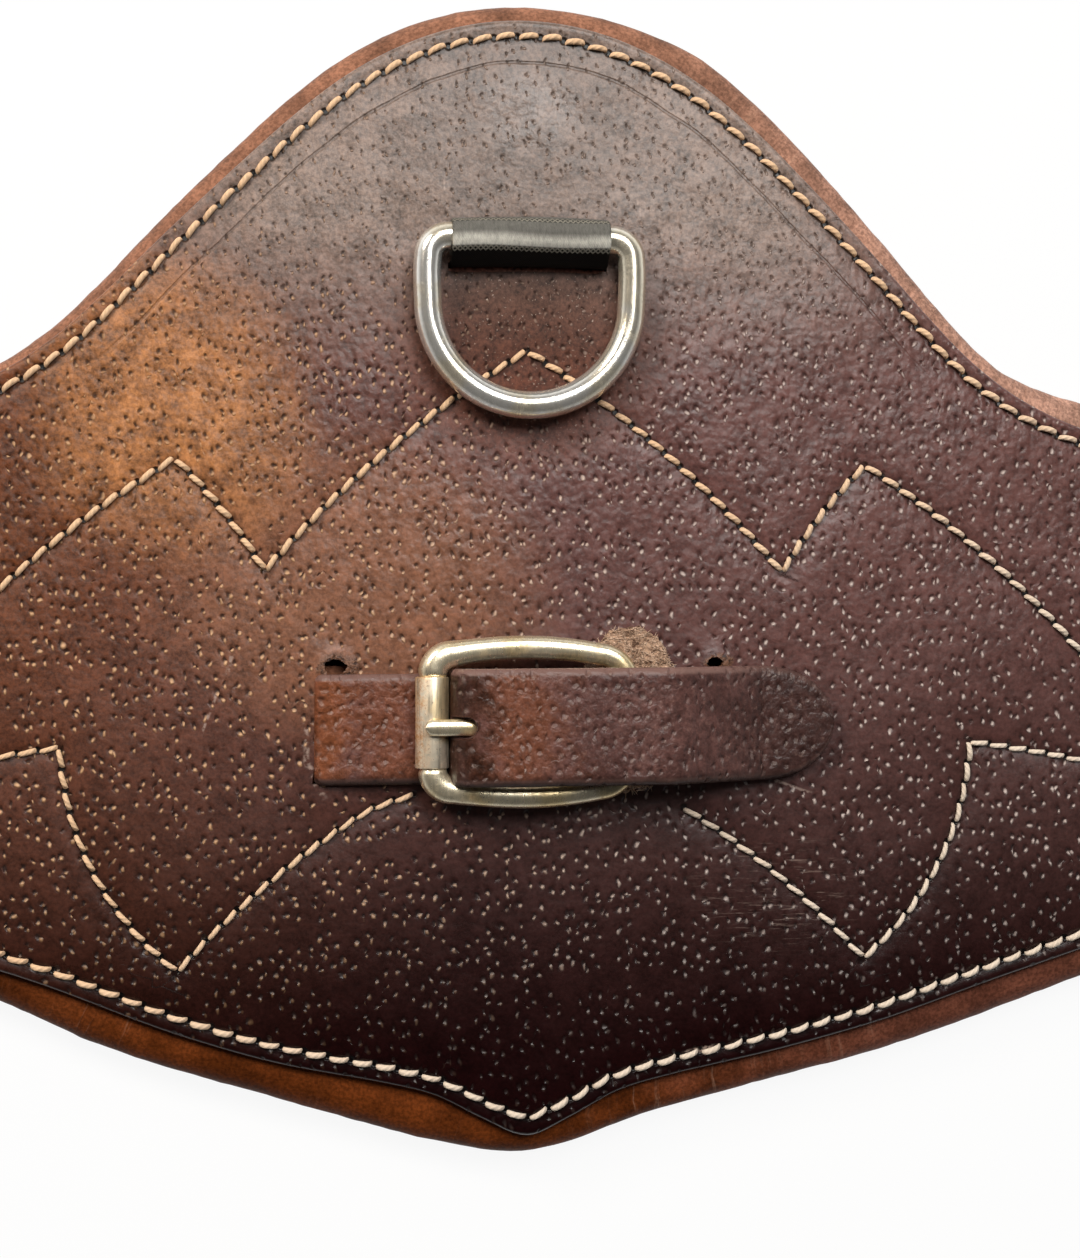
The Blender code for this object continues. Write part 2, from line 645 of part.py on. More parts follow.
# Keeper strap in the middle of the guard
def keeper_strap_path():
    wrap_x = KEEPER_ROLLER_X + ROLLER_WRAP
    corners = [(STRAP_SLOT_X + STRAP_TAIL, STRAP_TAIL_Z), (STRAP_SLOT_X, STRAP_TAIL_Z),
               (STRAP_SLOT_X, STRAP_ON_FACE_Z), (wrap_x, STRAP_ON_FACE_Z), (wrap_x, STRAP_OVER_Z),
               (KEEPER_HEEL_X + CHAPE_RETURN, STRAP_OVER_Z), (STRAP_LAND_X, STRAP_ON_FACE_Z),
               (STRAP_TIP_X, STRAP_ON_FACE_Z)]
    bends = [0, STRAP_FOLD, STRAP_FOLD, ROLLER_WRAP, KEEPER_ROLLER, STRAP_SWEEP, STRAP_SWEEP, 0]
    return rounded(corners, bends)


def tip_cutters():
    # What is left outside the rounded tip: a block with the tip's half ellipse cut from it.
    start = STRAP_TIP_X - STRAP_TIP_LENGTH
    half = STRAP_WIDTH / 2
    turns = [math.radians(-90 + 180 * i / (3 * ARC_STEPS)) for i in range(3 * ARC_STEPS + 1)]
    tip = [(start + STRAP_TIP_LENGTH * math.cos(a), STRAP_Y + half * math.sin(a)) for a in turns]
    past, wide = STRAP_TIP_X + half, STRAP_WIDTH
    block = [(past, STRAP_Y + wide), (start, STRAP_Y + wide), *reversed(tip),
             (start, STRAP_Y - wide), (past, STRAP_Y - wide)]
    return [as_cutter(slab("tip_waste", STRAP_LEATHER, block, FACE_HIGH, STRAP_OVER_Z))]


def make_keeper():
    strap = ribbon("keeper_strap", STRAP_LEATHER, keeper_strap_path(), STRAP_THICK, STRAP_WIDTH, STRAP_Y)
    wide = TONGUE_WIDTH / 2 + TONGUE_PLAY
    tongue_low = KEEPER_Z + KEEPER_WIRE / 2
    tongue_high = KEEPER_TONGUE_TIP_Z + TONGUE_THICK / 2 + HOLE_ROOM
    hole = box_cutter((KEEPER_ROLLER_X, STRAP_Y - wide, tongue_low),
                      (KEEPER_ROLLER_X + 2 * KEEPER_ROLLER, STRAP_Y + wide, tongue_high))
    cut(strap, hole, *tip_cutters())

    lower = KEEPER_Z - HEEL_WRAP
    rise = rounded([(CHAPE_SLOT_X - STRAP_TAIL, CHAPE_TAIL_Z), (CHAPE_SLOT_X, CHAPE_TAIL_Z),
                    (CHAPE_SLOT_X, lower), (KEEPER_HEEL_X, lower)], CHAPE_THICK, steps=4)
    wrap = arc((KEEPER_HEEL_X, KEEPER_Z), HEEL_WRAP, 270, 90, 2 * ARC_STEPS)
    path = joined(rise, wrap, [(KEEPER_HEEL_X + CHAPE_RETURN, KEEPER_Z + HEEL_WRAP)])
    chape = ribbon("buckle_chape", STRAP_LEATHER, path, CHAPE_THICK, chape_width(), STRAP_Y)
    window = box_cutter((KEEPER_HEEL_X - 2 * HEEL_WRAP, STRAP_Y - wide, SAFE_HIGH),
                        (KEEPER_HEEL_X + 1.5 * HEEL_WRAP, STRAP_Y + wide, STRAP_OVER_Z))
    cut(chape, window)

    turns = [2 * math.pi * i / (6 * ARC_STEPS) for i in range(6 * ARC_STEPS)]
    oval = [(KEEPER_HEEL_X + SAFE_WIDTH / 2 * math.cos(a), STRAP_Y + SAFE_HEIGHT / 2 * math.sin(a))
            for a in turns]
    slab("buckle_safe", SUEDE, oval, FACE_HIGH + FIT, SAFE_HIGH)

    buckle_frame("keeper_buckle_frame", KEEPER_HEEL_X, KEEPER_ROLLER_X, STRAP_Y, KEEPER_Z,
                 KEEPER_INNER_WIDTH, KEEPER_WIRE, KEEPER_HEEL_CORNER, KEEPER_FRONT_CORNER)
    straight = KEEPER_INNER_WIDTH + KEEPER_WIRE - 2 * KEEPER_FRONT_CORNER
    buckle_roller("keeper_buckle_roller", KEEPER_ROLLER_X, STRAP_Y, KEEPER_Z, straight - 2 * FIT,
                  KEEPER_ROLLER, KEEPER_WIRE)
    buckle_tongue("keeper_buckle_tongue", KEEPER_HEEL_X, KEEPER_ROLLER_X, STRAP_Y, KEEPER_Z,
                  KEEPER_WIRE, KEEPER_ROLLER)


# Elastic straps and buckles at one corner of the girth
def make_end(side, row, tag):
    centre_y = row * ELASTIC_Y
    heel_x, roller_x = side * BUCKLE_HEEL_X, side * BUCKLE_ROLLER_X
    inner = BODY_LENGTH / 2 - ELASTIC_INSERT
    level = BODY_LENGTH / 2 + ELASTIC_LEVEL
    outer = BUCKLE_HEEL_X - BUCKLE_WRAP - BUCKLE_CHAPE_THICK
    start, throat = BUCKLE_HEEL_X - BUCKLE_CHAPE_REACH, BUCKLE_HEEL_X - 2 * BUCKLE_WRAP
    route = [(inner, ELASTIC_Z), (level, ELASTIC_Z), (start - ELASTIC_LEAD, BUCKLE_Z), (outer, BUCKLE_Z)]
    path = [(side * u, v) for u, v in rounded(route, ELASTIC_BEND)]
    elastic = ribbon(f"elastic_{tag}", BLACK_ELASTIC, path, ELASTIC_THICK, ELASTIC_WIDTH, centre_y)
    smooth(elastic)

    straight = BUCKLE_INNER_WIDTH + BUCKLE_WIRE - 2 * BUCKLE_CORNER
    gap = ELASTIC_THICK / 2 + FIT + BUCKLE_CHAPE_THICK / 2
    wrap = arc((BUCKLE_HEEL_X, BUCKLE_Z), BUCKLE_WRAP, -90, 90, 2 * ARC_STEPS)
    fold = joined([(start, BUCKLE_Z - gap), (throat, BUCKLE_Z - gap)], wrap,
                  [(throat, BUCKLE_Z + gap), (start, BUCKLE_Z + gap)])
    chape = ribbon(f"chape_{tag}", STRAP_LEATHER, [(side * u, v) for u, v in fold], BUCKLE_CHAPE_THICK,
                   straight - 2 * FIT, centre_y)
    wide = TONGUE_WIDTH / 2 + TONGUE_PLAY
    ends = sorted((heel_x - side * 2.4 * BUCKLE_WRAP, heel_x + side * 2 * BUCKLE_WRAP))
    cut(chape, box_cutter((ends[0], centre_y - wide, -BUCKLE_Z), (ends[1], centre_y + wide, 3 * BUCKLE_Z)))

    buckle_frame(f"buckle_frame_{tag}", heel_x, roller_x, centre_y, BUCKLE_Z, BUCKLE_INNER_WIDTH,
                 BUCKLE_WIRE, BUCKLE_CORNER, BUCKLE_CORNER)
    buckle_roller(f"buckle_roller_{tag}", roller_x, centre_y, BUCKLE_Z, straight - 2 * FIT,
                  BUCKLE_ROLLER, BUCKLE_WIRE)
    buckle_tongue(f"buckle_tongue_{tag}", heel_x, roller_x, centre_y, BUCKLE_Z, BUCKLE_WIRE, BUCKLE_ROLLER)


clear_scene()
PARTS = collection("belly_guard_girth")
CUTTERS = collection("cutters")
make_body(elastic_pockets(), strap_pockets())
make_seams()
make_ring()
make_keeper()
for end_side, end_name in ((-1, "left"), (1, "right")):
    for end_row, row_label in ((-1, "lower"), (1, "upper")):
        make_end(end_side, end_row, f"{end_name}_{row_label}")
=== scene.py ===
import math
import random

import bmesh
import bpy
import numpy as np
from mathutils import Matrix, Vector, kdtree, noise


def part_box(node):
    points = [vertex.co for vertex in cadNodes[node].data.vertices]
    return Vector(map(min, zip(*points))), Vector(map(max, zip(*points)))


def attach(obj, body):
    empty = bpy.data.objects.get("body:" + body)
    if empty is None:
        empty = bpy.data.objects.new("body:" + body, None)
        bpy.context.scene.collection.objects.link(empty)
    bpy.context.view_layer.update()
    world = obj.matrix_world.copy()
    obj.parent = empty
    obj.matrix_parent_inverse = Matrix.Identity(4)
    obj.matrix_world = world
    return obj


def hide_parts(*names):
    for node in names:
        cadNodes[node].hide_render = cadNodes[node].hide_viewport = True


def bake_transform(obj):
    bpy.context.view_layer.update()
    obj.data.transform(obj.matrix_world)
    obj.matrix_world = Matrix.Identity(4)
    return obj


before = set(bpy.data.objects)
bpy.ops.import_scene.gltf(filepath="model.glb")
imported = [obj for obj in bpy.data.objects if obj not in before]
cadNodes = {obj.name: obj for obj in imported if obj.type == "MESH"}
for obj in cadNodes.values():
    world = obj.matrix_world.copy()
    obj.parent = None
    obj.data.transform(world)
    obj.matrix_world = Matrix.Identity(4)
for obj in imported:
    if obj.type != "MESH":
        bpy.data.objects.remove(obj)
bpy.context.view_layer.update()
mm = 0.001
weldGap = 0.005 * mm  # CAD corners nearer than this are one corner
flatGap = 0.02 * mm  # how level the corners of a flat CAD face are
fineStep = 0.3 * mm  # between points of a line that is still to be measured or smoothed
tiny = 1e-12  # keeps divisions by a length safe
print("frame loaded:", len(cadNodes), "nodes")


# lines read off the frame
def welded(node):  # corners and faces of a CAD node, with split corners joined again
    found, points, index = {}, [], []
    for vertex in cadNodes[node].data.vertices:
        key = tuple(round(c / weldGap) for c in vertex.co)
        if key not in found:
            found[key] = len(points)
            points.append(tuple(vertex.co))
        index.append(found[key])
    faces = [[index[i] for i in face.vertices] for face in cadNodes[node].data.polygons]
    return np.array(points), [face for face in faces if len(set(face)) == len(face)]


def rims(node, way):  # loops round the flat faces furthest along way, longest first
    points, faces = welded(node)
    reach = points @ np.array(way, float)
    flat = [face for face in faces if min(reach[i] for i in face) > reach.max() - flatGap]
    edges = {(a, b) for face in flat for a, b in zip(face, face[1:] + face[:1])}
    follow = {a: b for a, b in sorted(edges) if (b, a) not in edges}
    loops = []
    while follow:
        start, here = follow.popitem()
        loop = [start]
        while here != start:
            loop.append(here)
            here = follow.pop(here)
        loops.append(points[loop])
    return sorted(loops, key=lambda loop: -lineLength(loop))


def ridge(node):  # line along the top of a thread or wire, and whether it closes on itself
    points, faces = welded(node)
    highest = points[:, 2].max() - flatGap
    links = {i: set() for i in range(len(points)) if points[i][2] > highest}
    for face in faces:
        for a, b in zip(face, face[1:] + face[:1]):
            if a in links and b in links:
                links[a].add(b)
                links[b].add(a)
    ends = [i for i in sorted(links) if len(links[i]) == 1]
    here = ends[0] if ends else min(links)
    walk, last = [here], None
    while True:
        onward = [i for i in sorted(links[here])
                  if i != last and (i not in walk or (i == walk[0] and len(walk) > 2))]
        if not onward or onward[0] == walk[0]:
            break
        last, here = here, onward[0]
        walk.append(here)
    return points[walk], not ends


def lineLength(line):
    return float(np.linalg.norm(np.diff(line, axis=0), axis=1).sum())


def runAlong(line):
    return np.concatenate([[0.0], np.cumsum(np.linalg.norm(np.diff(line, axis=0), axis=1))])


def even(line, step):  # the same line with equally spaced points
    run = runAlong(line)
    spots = np.linspace(0, run[-1], max(2, round(run[-1] / step) + 1))
    return np.stack([np.interp(spots, run, line[:, k]) for k in range(line.shape[1])], axis=1)


def curveThrough(points, step, closed=False, perSpan=12):  # smooth line through a frame line's corners
    p = np.array(points, float)
    p = np.vstack([p[-1], p, p[0], p[1]]) if closed else np.vstack([2 * p[0] - p[1], p, 2 * p[-1] - p[-2]])
    t = np.linspace(0, 1, perSpan, endpoint=False)[:, None]
    fine = []
    for a, b, c, d in zip(p, p[1:], p[2:], p[3:]):
        ab, bc, cd = (max(np.linalg.norm(v), 1e-9) for v in (b - a, c - b, d - c))
        leave = ((b - a) / ab - (c - a) / (ab + bc) + (c - b) / bc) * bc
        arrive = ((c - b) / bc - (d - b) / (bc + cd) + (d - c) / cd) * bc
        fine.append(b * (1 + 2 * t) * (1 - t) ** 2 + c * t * t * (3 - 2 * t)
                    + leave * t * (1 - t) ** 2 - arrive * t * t * (1 - t))
    line = even(np.vstack([*fine, p[-2][None]]), step)
    return line[:-1] if closed else line


def soften(line, reach, step):  # rounds off the facets of a line, ends kept
    size = max(1, int(reach / step))
    weights = np.exp(-np.linspace(-2, 2, 2 * size + 1) ** 2)
    weights /= weights.sum()
    padded = np.vstack([2 * line[0] - line[size:0:-1], line, 2 * line[-1] - line[-2:-size - 2:-1]])
    return np.stack([np.convolve(padded[:, k], weights, "valid") for k in range(line.shape[1])], axis=1)


def loopArea(loop):  # twice the area of a closed flat outline, below 0 where it runs clockwise
    onward = np.roll(loop, -1, axis=0)
    return np.sum(loop[:, 0] * onward[:, 1] - onward[:, 0] * loop[:, 1])


def spread(loop, reach):  # a closed flat outline moved outwards
    way = tangents(loop, closed=True)
    outward = np.stack([way[:, 1], -way[:, 0]], axis=1)
    return loop + outward * reach * math.copysign(1, loopArea(loop))


def tangents(line, closed=False):
    if closed:
        way = np.roll(line, -1, axis=0) - np.roll(line, 1, axis=0)
    else:
        way = np.gradient(line, axis=0)
    return way / np.maximum(np.linalg.norm(way, axis=1, keepdims=True), tiny)


def splitAtCorners(points, limit=32):  # a sewn line as runs between its sharp corners
    way = np.diff(points, axis=0)
    angle = np.degrees(np.arctan2(way[:, 1], way[:, 0]))
    turn = np.abs((np.diff(angle) + 180) % 360 - 180)
    cuts = [0, *[int(i) + 1 for i in np.nonzero(turn > limit)[0]], len(points) - 1]
    return [points[a:b + 1] for a, b in zip(cuts, cuts[1:])]


def ramp(value, low, high):  # 0 below low, 1 above high, smooth between
    t = np.clip((value - low) / (high - low), 0, 1)
    return t * t * (3 - 2 * t)


def treeOf(flat):  # for finding the nearest of many flat points
    tree = kdtree.KDTree(len(flat))
    for i, (x, y) in enumerate(flat):
        tree.insert((x, y, 0), i)
    tree.balance()
    return tree


# left and right: how far the lower and the upper edge move
usedBend = {"left": (4.2 * mm, 0.8 * mm), "right": (0.0, -2.1 * mm), "edges": (-70 * mm, 70 * mm),
            "rises": (45 * mm, 115 * mm), "falls": (150 * mm, 240 * mm)}


def bent(flat):  # beside the guard, the used girth's edges lie higher on the left and lower on the right
    b = usedBend
    reach, upper = np.abs(flat[:, 0]), ramp(flat[:, 1], *b["edges"])
    share = ramp(reach, *b["rises"]) * (1 - ramp(reach, *b["falls"]))
    left, right = (low + (high - low) * upper for low, high in (b["left"], b["right"]))
    moved = flat.copy()
    moved[:, 1] += np.where(flat[:, 0] < 0, left, right) * share
    return moved


# pieces
sharpTurn = 50  # degrees, from which an edge is shaded sharp


def ringFaces(count, around, closed=False):  # quads between rings of points, with end caps unless closed
    ring = np.arange(count if closed else count - 1)[:, None]
    spot = np.arange(around)[None, :]
    nextRing, nextSpot = (ring + 1) % count, (spot + 1) % around
    quads = np.stack(np.broadcast_arrays(ring * around + spot, ring * around + nextSpot,
                                         nextRing * around + nextSpot, nextRing * around + spot), axis=-1)
    faces = quads.reshape(-1, 4).tolist()
    if not closed:
        faces.append(list(range(around))[::-1])
        faces.append([(count - 1) * around + i for i in range(around)])
    return faces


def upright(outline, low, high):  # points and faces of a closed shape with a flat outline, from low to high
    rings = np.array([[(x, y, z) for x, y in outline] for z in (low, high)])
    return rings, ringFaces(2, len(outline))


def makeMesh(name, points, faces):
    mesh = bpy.data.meshes.new(name)
    mesh.from_pydata(np.asarray(points).reshape(-1, 3).tolist(), [], faces)
    shape = bmesh.new()
    shape.from_mesh(mesh)
    bmesh.ops.recalc_face_normals(shape, faces=shape.faces)
    shape.to_mesh(mesh)
    shape.free()
    return mesh


def addObject(name, data):
    made = bpy.data.objects.new(name, data)
    bpy.context.scene.collection.objects.link(made)
    return made


def shadeSmooth(mesh, sharp=sharpTurn):
    mesh.shade_smooth()
    mesh.set_sharp_from_angle(angle=math.radians(sharp))


def addPiece(name, points, faces, look, sharp):
    mesh = makeMesh(name, points, faces)
    shadeSmooth(mesh, sharp)
    mesh.materials.append(look)
    return addObject(name, mesh)


def standFor(piece, body, slot, *nodes):  # a piece without nodes is trim of its own
    if body:
        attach(piece, body)
    if nodes:
        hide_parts(*nodes)


def setPointData(piece, name, values):
    values = np.asarray(values, np.float32)
    kind = "FLOAT_VECTOR" if values.ndim == 2 else "FLOAT"
    data = piece.data.attributes.new(name, kind, "POINT")
    data.data.foreach_set("vector" if values.ndim == 2 else "value", values.ravel())


def pointsOf(piece):
    points = np.zeros(len(piece.data.vertices) * 3, np.float32)
    piece.data.vertices.foreach_get("co", points)
    return points.reshape(-1, 3).astype(float)


def cutAway(piece, points, faces):  # takes a closed shape out of a piece
    cutter = addObject("cutter", makeMesh("cutter", points, faces))
    step = piece.modifiers.new("cut", "BOOLEAN")
    step.operation, step.solver, step.object = "DIFFERENCE", "EXACT", cutter
    graph = bpy.context.evaluated_depsgraph_get()
    cutMesh = bpy.data.meshes.new_from_object(piece.evaluated_get(graph))
    piece.modifiers.clear()
    piece.data = cutMesh
    bpy.data.objects.remove(cutter)
    shadeSmooth(cutMesh)


# materials: arithmetic on a Wire adds Math nodes
class Wire:
    def __init__(self, look, socket):
        self.look, self.socket = look, socket

    def math(self, operation, *values):
        return self.look.node("ShaderNodeMath", {"operation": operation}, values)

    def __add__(self, other):
        return self.math("ADD", self, other)

    def __sub__(self, other):
        return self.math("SUBTRACT", self, other)

    def __rsub__(self, other):
        return self.math("SUBTRACT", other, self)

    def __mul__(self, other):
        return self.math("MULTIPLY", self, other)

    def __truediv__(self, other):
        return self.math("DIVIDE", self, other)

    __radd__, __rmul__ = __add__, __mul__

    def abs(self):
        return self.math("ABSOLUTE", self)

    def sin(self):
        return self.math("SINE", self)

    def fract(self):
        return self.math("FRACT", self)

    def top(self, other):
        return self.math("MAXIMUM", self, other)

    def least(self, other):
        return self.math("MINIMUM", self, other)

    def step(self, low, high):  # 0 below low, 1 above high, smooth between
        inputs = {"Value": self, "From Min": low, "From Max": high}
        return self.look.node("ShaderNodeMapRange", {"interpolation_type": "SMOOTHSTEP"}, inputs)

    def fade(self, low, high):  # 1 below low, 0 above high
        return 1 - self.step(low, high)


class Look:
    def __init__(self, name, **fixed):
        self.material = bpy.data.materials.new(name)
        self.material.use_nodes = True
        self.tree = self.material.node_tree
        self.shader = self.tree.nodes["Principled BSDF"]
        for socket, value in fixed.items():
            self.shader.inputs[socket.replace("_", " ")].default_value = value

    def node(self, kind, settings=None, inputs=(), output=0):
        made = self.tree.nodes.new(kind)
        for key, value in (settings or {}).items():
            setattr(made, key, value)
        pairs = inputs.items() if isinstance(inputs, dict) else enumerate(inputs)
        for key, value in pairs:
            if isinstance(value, Wire):
                self.tree.links.new(value.socket, made.inputs[key])
            else:
                made.inputs[key].default_value = value
        return Wire(self, made.outputs[output])

    def vector(self, operation, *values, output=0):
        return self.node("ShaderNodeVectorMath", {"operation": operation}, values, output)

    def place(self):  # metres in the frame
        return self.node("ShaderNodeTexCoord", output="Object")

    def point(self, name, output="Vector"):
        return self.node("ShaderNodeAttribute", {"attribute_name": name}, output=output)

    def axis(self, vector, letter):
        return self.node("ShaderNodeSeparateXYZ", None, [vector], output=letter)

    def moved(self, vector, shift=(0, 0, 0), turn=0.0, stretch=(1, 1, 1)):
        inputs = {"Vector": vector, "Location": shift, "Rotation": (0, 0, turn), "Scale": stretch}
        return self.node("ShaderNodeMapping", None, inputs)

    def grain(self, vector, size, detail=2.0, rough=0.5, output=0):  # noise with lumps of about size, 0 to 1
        inputs = {"Vector": vector, "Scale": 1 / size, "Detail": detail, "Roughness": rough}
        return self.node("ShaderNodeTexNoise", None, inputs, output)

    def warped(self, vector, size, reach):  # a place pushed about by noise, for natural edges
        push = self.grain(vector, size, output="Color")
        push = self.vector("MULTIPLY_ADD", push, (reach, reach, 0), (-0.5 * reach, -0.5 * reach, 0))
        return self.vector("ADD", vector, push)

    def cells(self, vector, size, settings, output=0, **inputs):  # a flat Voronoi pattern
        inputs = {"Vector": vector, "Scale": 1 / size, **inputs}
        return self.node("ShaderNodeTexVoronoi", {"voronoi_dimensions": "2D", **settings}, inputs, output)

    def tint(self, share, colourA, colourB):
        pair = [colour if isinstance(colour, Wire) else (*colour, 1.0) for colour in (colourA, colourB)]
        return self.node("ShaderNodeMix", {"data_type": "RGBA"}, {0: share, 6: pair[0], 7: pair[1]}, 2)

    def shade(self, colour, factor):  # a colour times a value
        grey = self.node("ShaderNodeCombineColor", None, [factor, factor, factor])
        settings = {"data_type": "RGBA", "blend_type": "MULTIPLY"}
        return self.node("ShaderNodeMix", settings, {0: 1.0, 6: colour, 7: grey}, 2)

    def finish(self, colour, rough, height, metal=None):  # height is in millimetres
        bump = self.node("ShaderNodeBump", None, {"Strength": 1.0, "Distance": mm, "Height": height})
        links = {"Base Color": colour, "Roughness": rough, "Normal": bump, "Metallic": metal}
        for socket, wire in links.items():
            if wire is not None:
                self.tree.links.new(wire.socket, self.shader.inputs[socket])
        return self.material


class Sky(Look):  # the same, for the world's nodes
    def __init__(self, world):
        self.tree = world.node_tree


# grained face leather: pig grain with pores, warmer on the left, almost black towards the point, with painted
# light and shade in places
grainLeather = {
    "upper": (0.110, 0.047, 0.041), "lower": (0.009, 0.0012, 0.0014), "warm": (0.113, 0.031, 0.006),
    "tan": (0.38, 0.158, 0.054), "paintedWarmHighlight": (0.235, 0.100, 0.052), "crownToneAndPaintedSheen": (0.164, 0.122, 0.099),
    "inRing": (0.215, 0.066, 0.032), "fleck": (0.50, 0.40, 0.34), "hole": (0.002, 0.001, 0.001),
    "pit": (0.010, 0.003, 0.002), "pitWarm": (0.022, 0.007, 0.003),
    "speckLeft": (0.62, 0.36, 0.19), "speckRight": (0.54, 0.44, 0.40), "scuff": (0.42, 0.31, 0.26),
    "rim": (0.20, 0.095, 0.055), "rimDark": (0.016, 0.007, 0.005),
    # sizes of the grain
    "patch": 26 * mm, "wave": 13 * mm, "mottle": 4.5 * mm, "lump": 3.4 * mm, "wrinkle": 2.2 * mm,
    "pebble": 1.7 * mm, "fine": 0.8 * mm, "flecks": 0.6 * mm,
    # from where to where a tone changes, along X (side) and Y (height)
    "paleHeight": (-86 * mm, 36 * mm), "warmSide": (-112 * mm, 0.0), "warmHeight": (-94 * mm, 44 * mm),
    "humpSide": (50 * mm, 110 * mm), "humpHeight": (62 * mm, 104 * mm), "humpEdges": (10 * mm, 36 * mm),
    "wrinkledHeight": (-30 * mm, 50 * mm), "speckSide": (-60 * mm, 45 * mm),
    "darkHeight": (-85 * mm, -25 * mm), "noseHeight": (-80 * mm, -45 * mm),
    "creaseHeight": (62 * mm, 82 * mm), "creaseFromEdge": 9.4,
    # patches, middle and half size: two painted warm highlights, a polished patch, and the inside of the
    # ring, partly rubbed dirt and partly painted shade
    "paintedWarmSheenSpot": ((-77 * mm, 58 * mm), (29 * mm, 31 * mm)),
    "paintedWarmHighlightSpot": ((-37 * mm, 20 * mm), (42 * mm, 33 * mm)),
    "polishSpot": ((1 * mm, 124 * mm), (12 * mm, 9 * mm)),
    "ringSpot": ((0, 74 * mm), (30 * mm, 26 * mm)),
}
hidePores = {
    "groupGap": 4.4 * mm, "evenness": 0.95, "turn": 1.3, "squeeze": 0.74, "lot": 2.6 * mm,
    "group": ((0.1, 1.3), (-1.25, -0.75), (1.2, -0.9)), "pitShift": (-0.15, 0.27),
    "speckShift": (0.08, -0.17), "pitSize": (0.08, 0.58), "speckSize": (0.08, 0.48), "dimple": (0.2, 1.1),
}


def pores(look, flat, scale):  # pig pores stand in threes
    # masks of the pits, of the rims below them and of soft dimples round them; the looks paint the pits and
    # dimples darker as shade, and the rims pale, partly pale wax and partly painted highlight
    p = hidePores
    loose = look.moved(look.warped(flat, 3.6 * mm, 2.2 * mm), stretch=(1.0, p["squeeze"], 0.0))
    group = look.cells(loose, p["groupGap"], {"feature": "F1"}, "Position", Randomness=p["evenness"])
    chance = look.axis(Wire(look, group.socket.node.outputs["Color"]), "X")
    turned = {"Vector": look.vector("SUBTRACT", loose, group), "Angle": (chance - 0.5) * p["turn"]}
    inGroup = look.node("ShaderNodeVectorRotate", {"rotation_type": "Z_AXIS"}, turned)
    lot = look.grain(look.moved(flat, shift=(0.3, 0.2, 0)), p["lot"], 1)

    def nearest(shift):
        spots = [((x + shift[0]) * mm, (y + shift[1]) * mm, 0) for x, y in p["group"]]
        gaps = [look.vector("DISTANCE", inGroup, spot, output="Value") for spot in spots]
        return gaps[0].least(gaps[1]).least(gaps[2]) / mm
    size = (0.35 + 1.3 * lot) * scale
    toPit = nearest(p["pitShift"]) / size
    speck = (nearest(p["speckShift"]) / size).fade(*p["speckSize"]) * lot.step(0.25, 0.5)
    return toPit.fade(*p["pitSize"]), speck, toPit.fade(*p["dimple"])


def stroke(look, flat, start, end, width):  # a scratch from start to end, 1 along its middle
    run = [b - a for a, b in zip(start, end)]
    length = math.hypot(*run)
    offset = look.vector("SUBTRACT", flat, (*start, 0))
    share = look.vector("DOT_PRODUCT", offset, (*run, 0), output="Value") / length ** 2
    side = look.vector("DOT_PRODUCT", offset, (-run[1], run[0], 0), output="Value") / length
    return side.abs().fade(0.2 * width, width) * share.step(0.0, 0.15) * share.fade(0.8, 1.0)


def pebbles(look, flat, size):  # rounded pebbles of hide, 0 in the lines between them
    wavy = look.warped(flat, 1.4 * size, 1.1 * size)
    return 1 - look.cells(wavy, size, {"feature": "SMOOTH_F1"}, Smoothness=0.6)


def softSpot(across, along, spot, reach, unrest):  # 1 in the middle of a patch, fading out
    dx, dy = (across - spot[0]) / reach[0], (along - spot[1]) / reach[1]
    return (dx * dx + dy * dy + unrest).fade(0.0, 1.5)


# strokes: scratches from start to end with their width, in millimetres
wear = {
    "strokes": (((24.0, 107.0), (25.4, 98.0), 0.5), ((-18.2, 109.0), (-17.4, 101.0), 0.35),
                ((-63.0, 7.0), (-65.5, -1.0), 0.6), ((-66.5, -2.0), (-70.0, -12.0), 0.5),
                ((52.0, -21.0), (64.0, -25.5), 0.5), ((34.0, -82.5), (42.0, -80.5), 0.9),
                ((-48.0, -8.5), (-47.5, -19.0), 0.9), ((-47.7, -17.5), (-43.6, -26.0), 0.9)),
    "brushed": ((56 * mm, -47 * mm), (18 * mm, 13 * mm)), "brushedTurn": -0.55, "strand": 0.55 * mm,
}


def scuffs(look, place, across, along):  # scratches, and the brushed patch at the lower right
    wavy = look.warped(place, 3 * mm, 1.6 * mm)
    scratched = 0.0
    for start, end, width in wear["strokes"]:
        line = stroke(look, wavy, [c * mm for c in start], [c * mm for c in end], width * mm)
        scratched = line + scratched
    broken = look.grain(place, 1.2 * mm, 3).step(0.42, 0.6)
    combed = look.moved(place, turn=wear["brushedTurn"], stretch=(0.07, 1, 1))
    strands = look.grain(combed, wear["strand"], 3, 0.7).step(0.56, 0.7)
    patch = softSpot(across, along, *wear["brushed"], (look.grain(place, 9 * mm, 3) - 0.5) * 1.4)
    return scratched * broken * 0.8 + strands * patch * 0.45


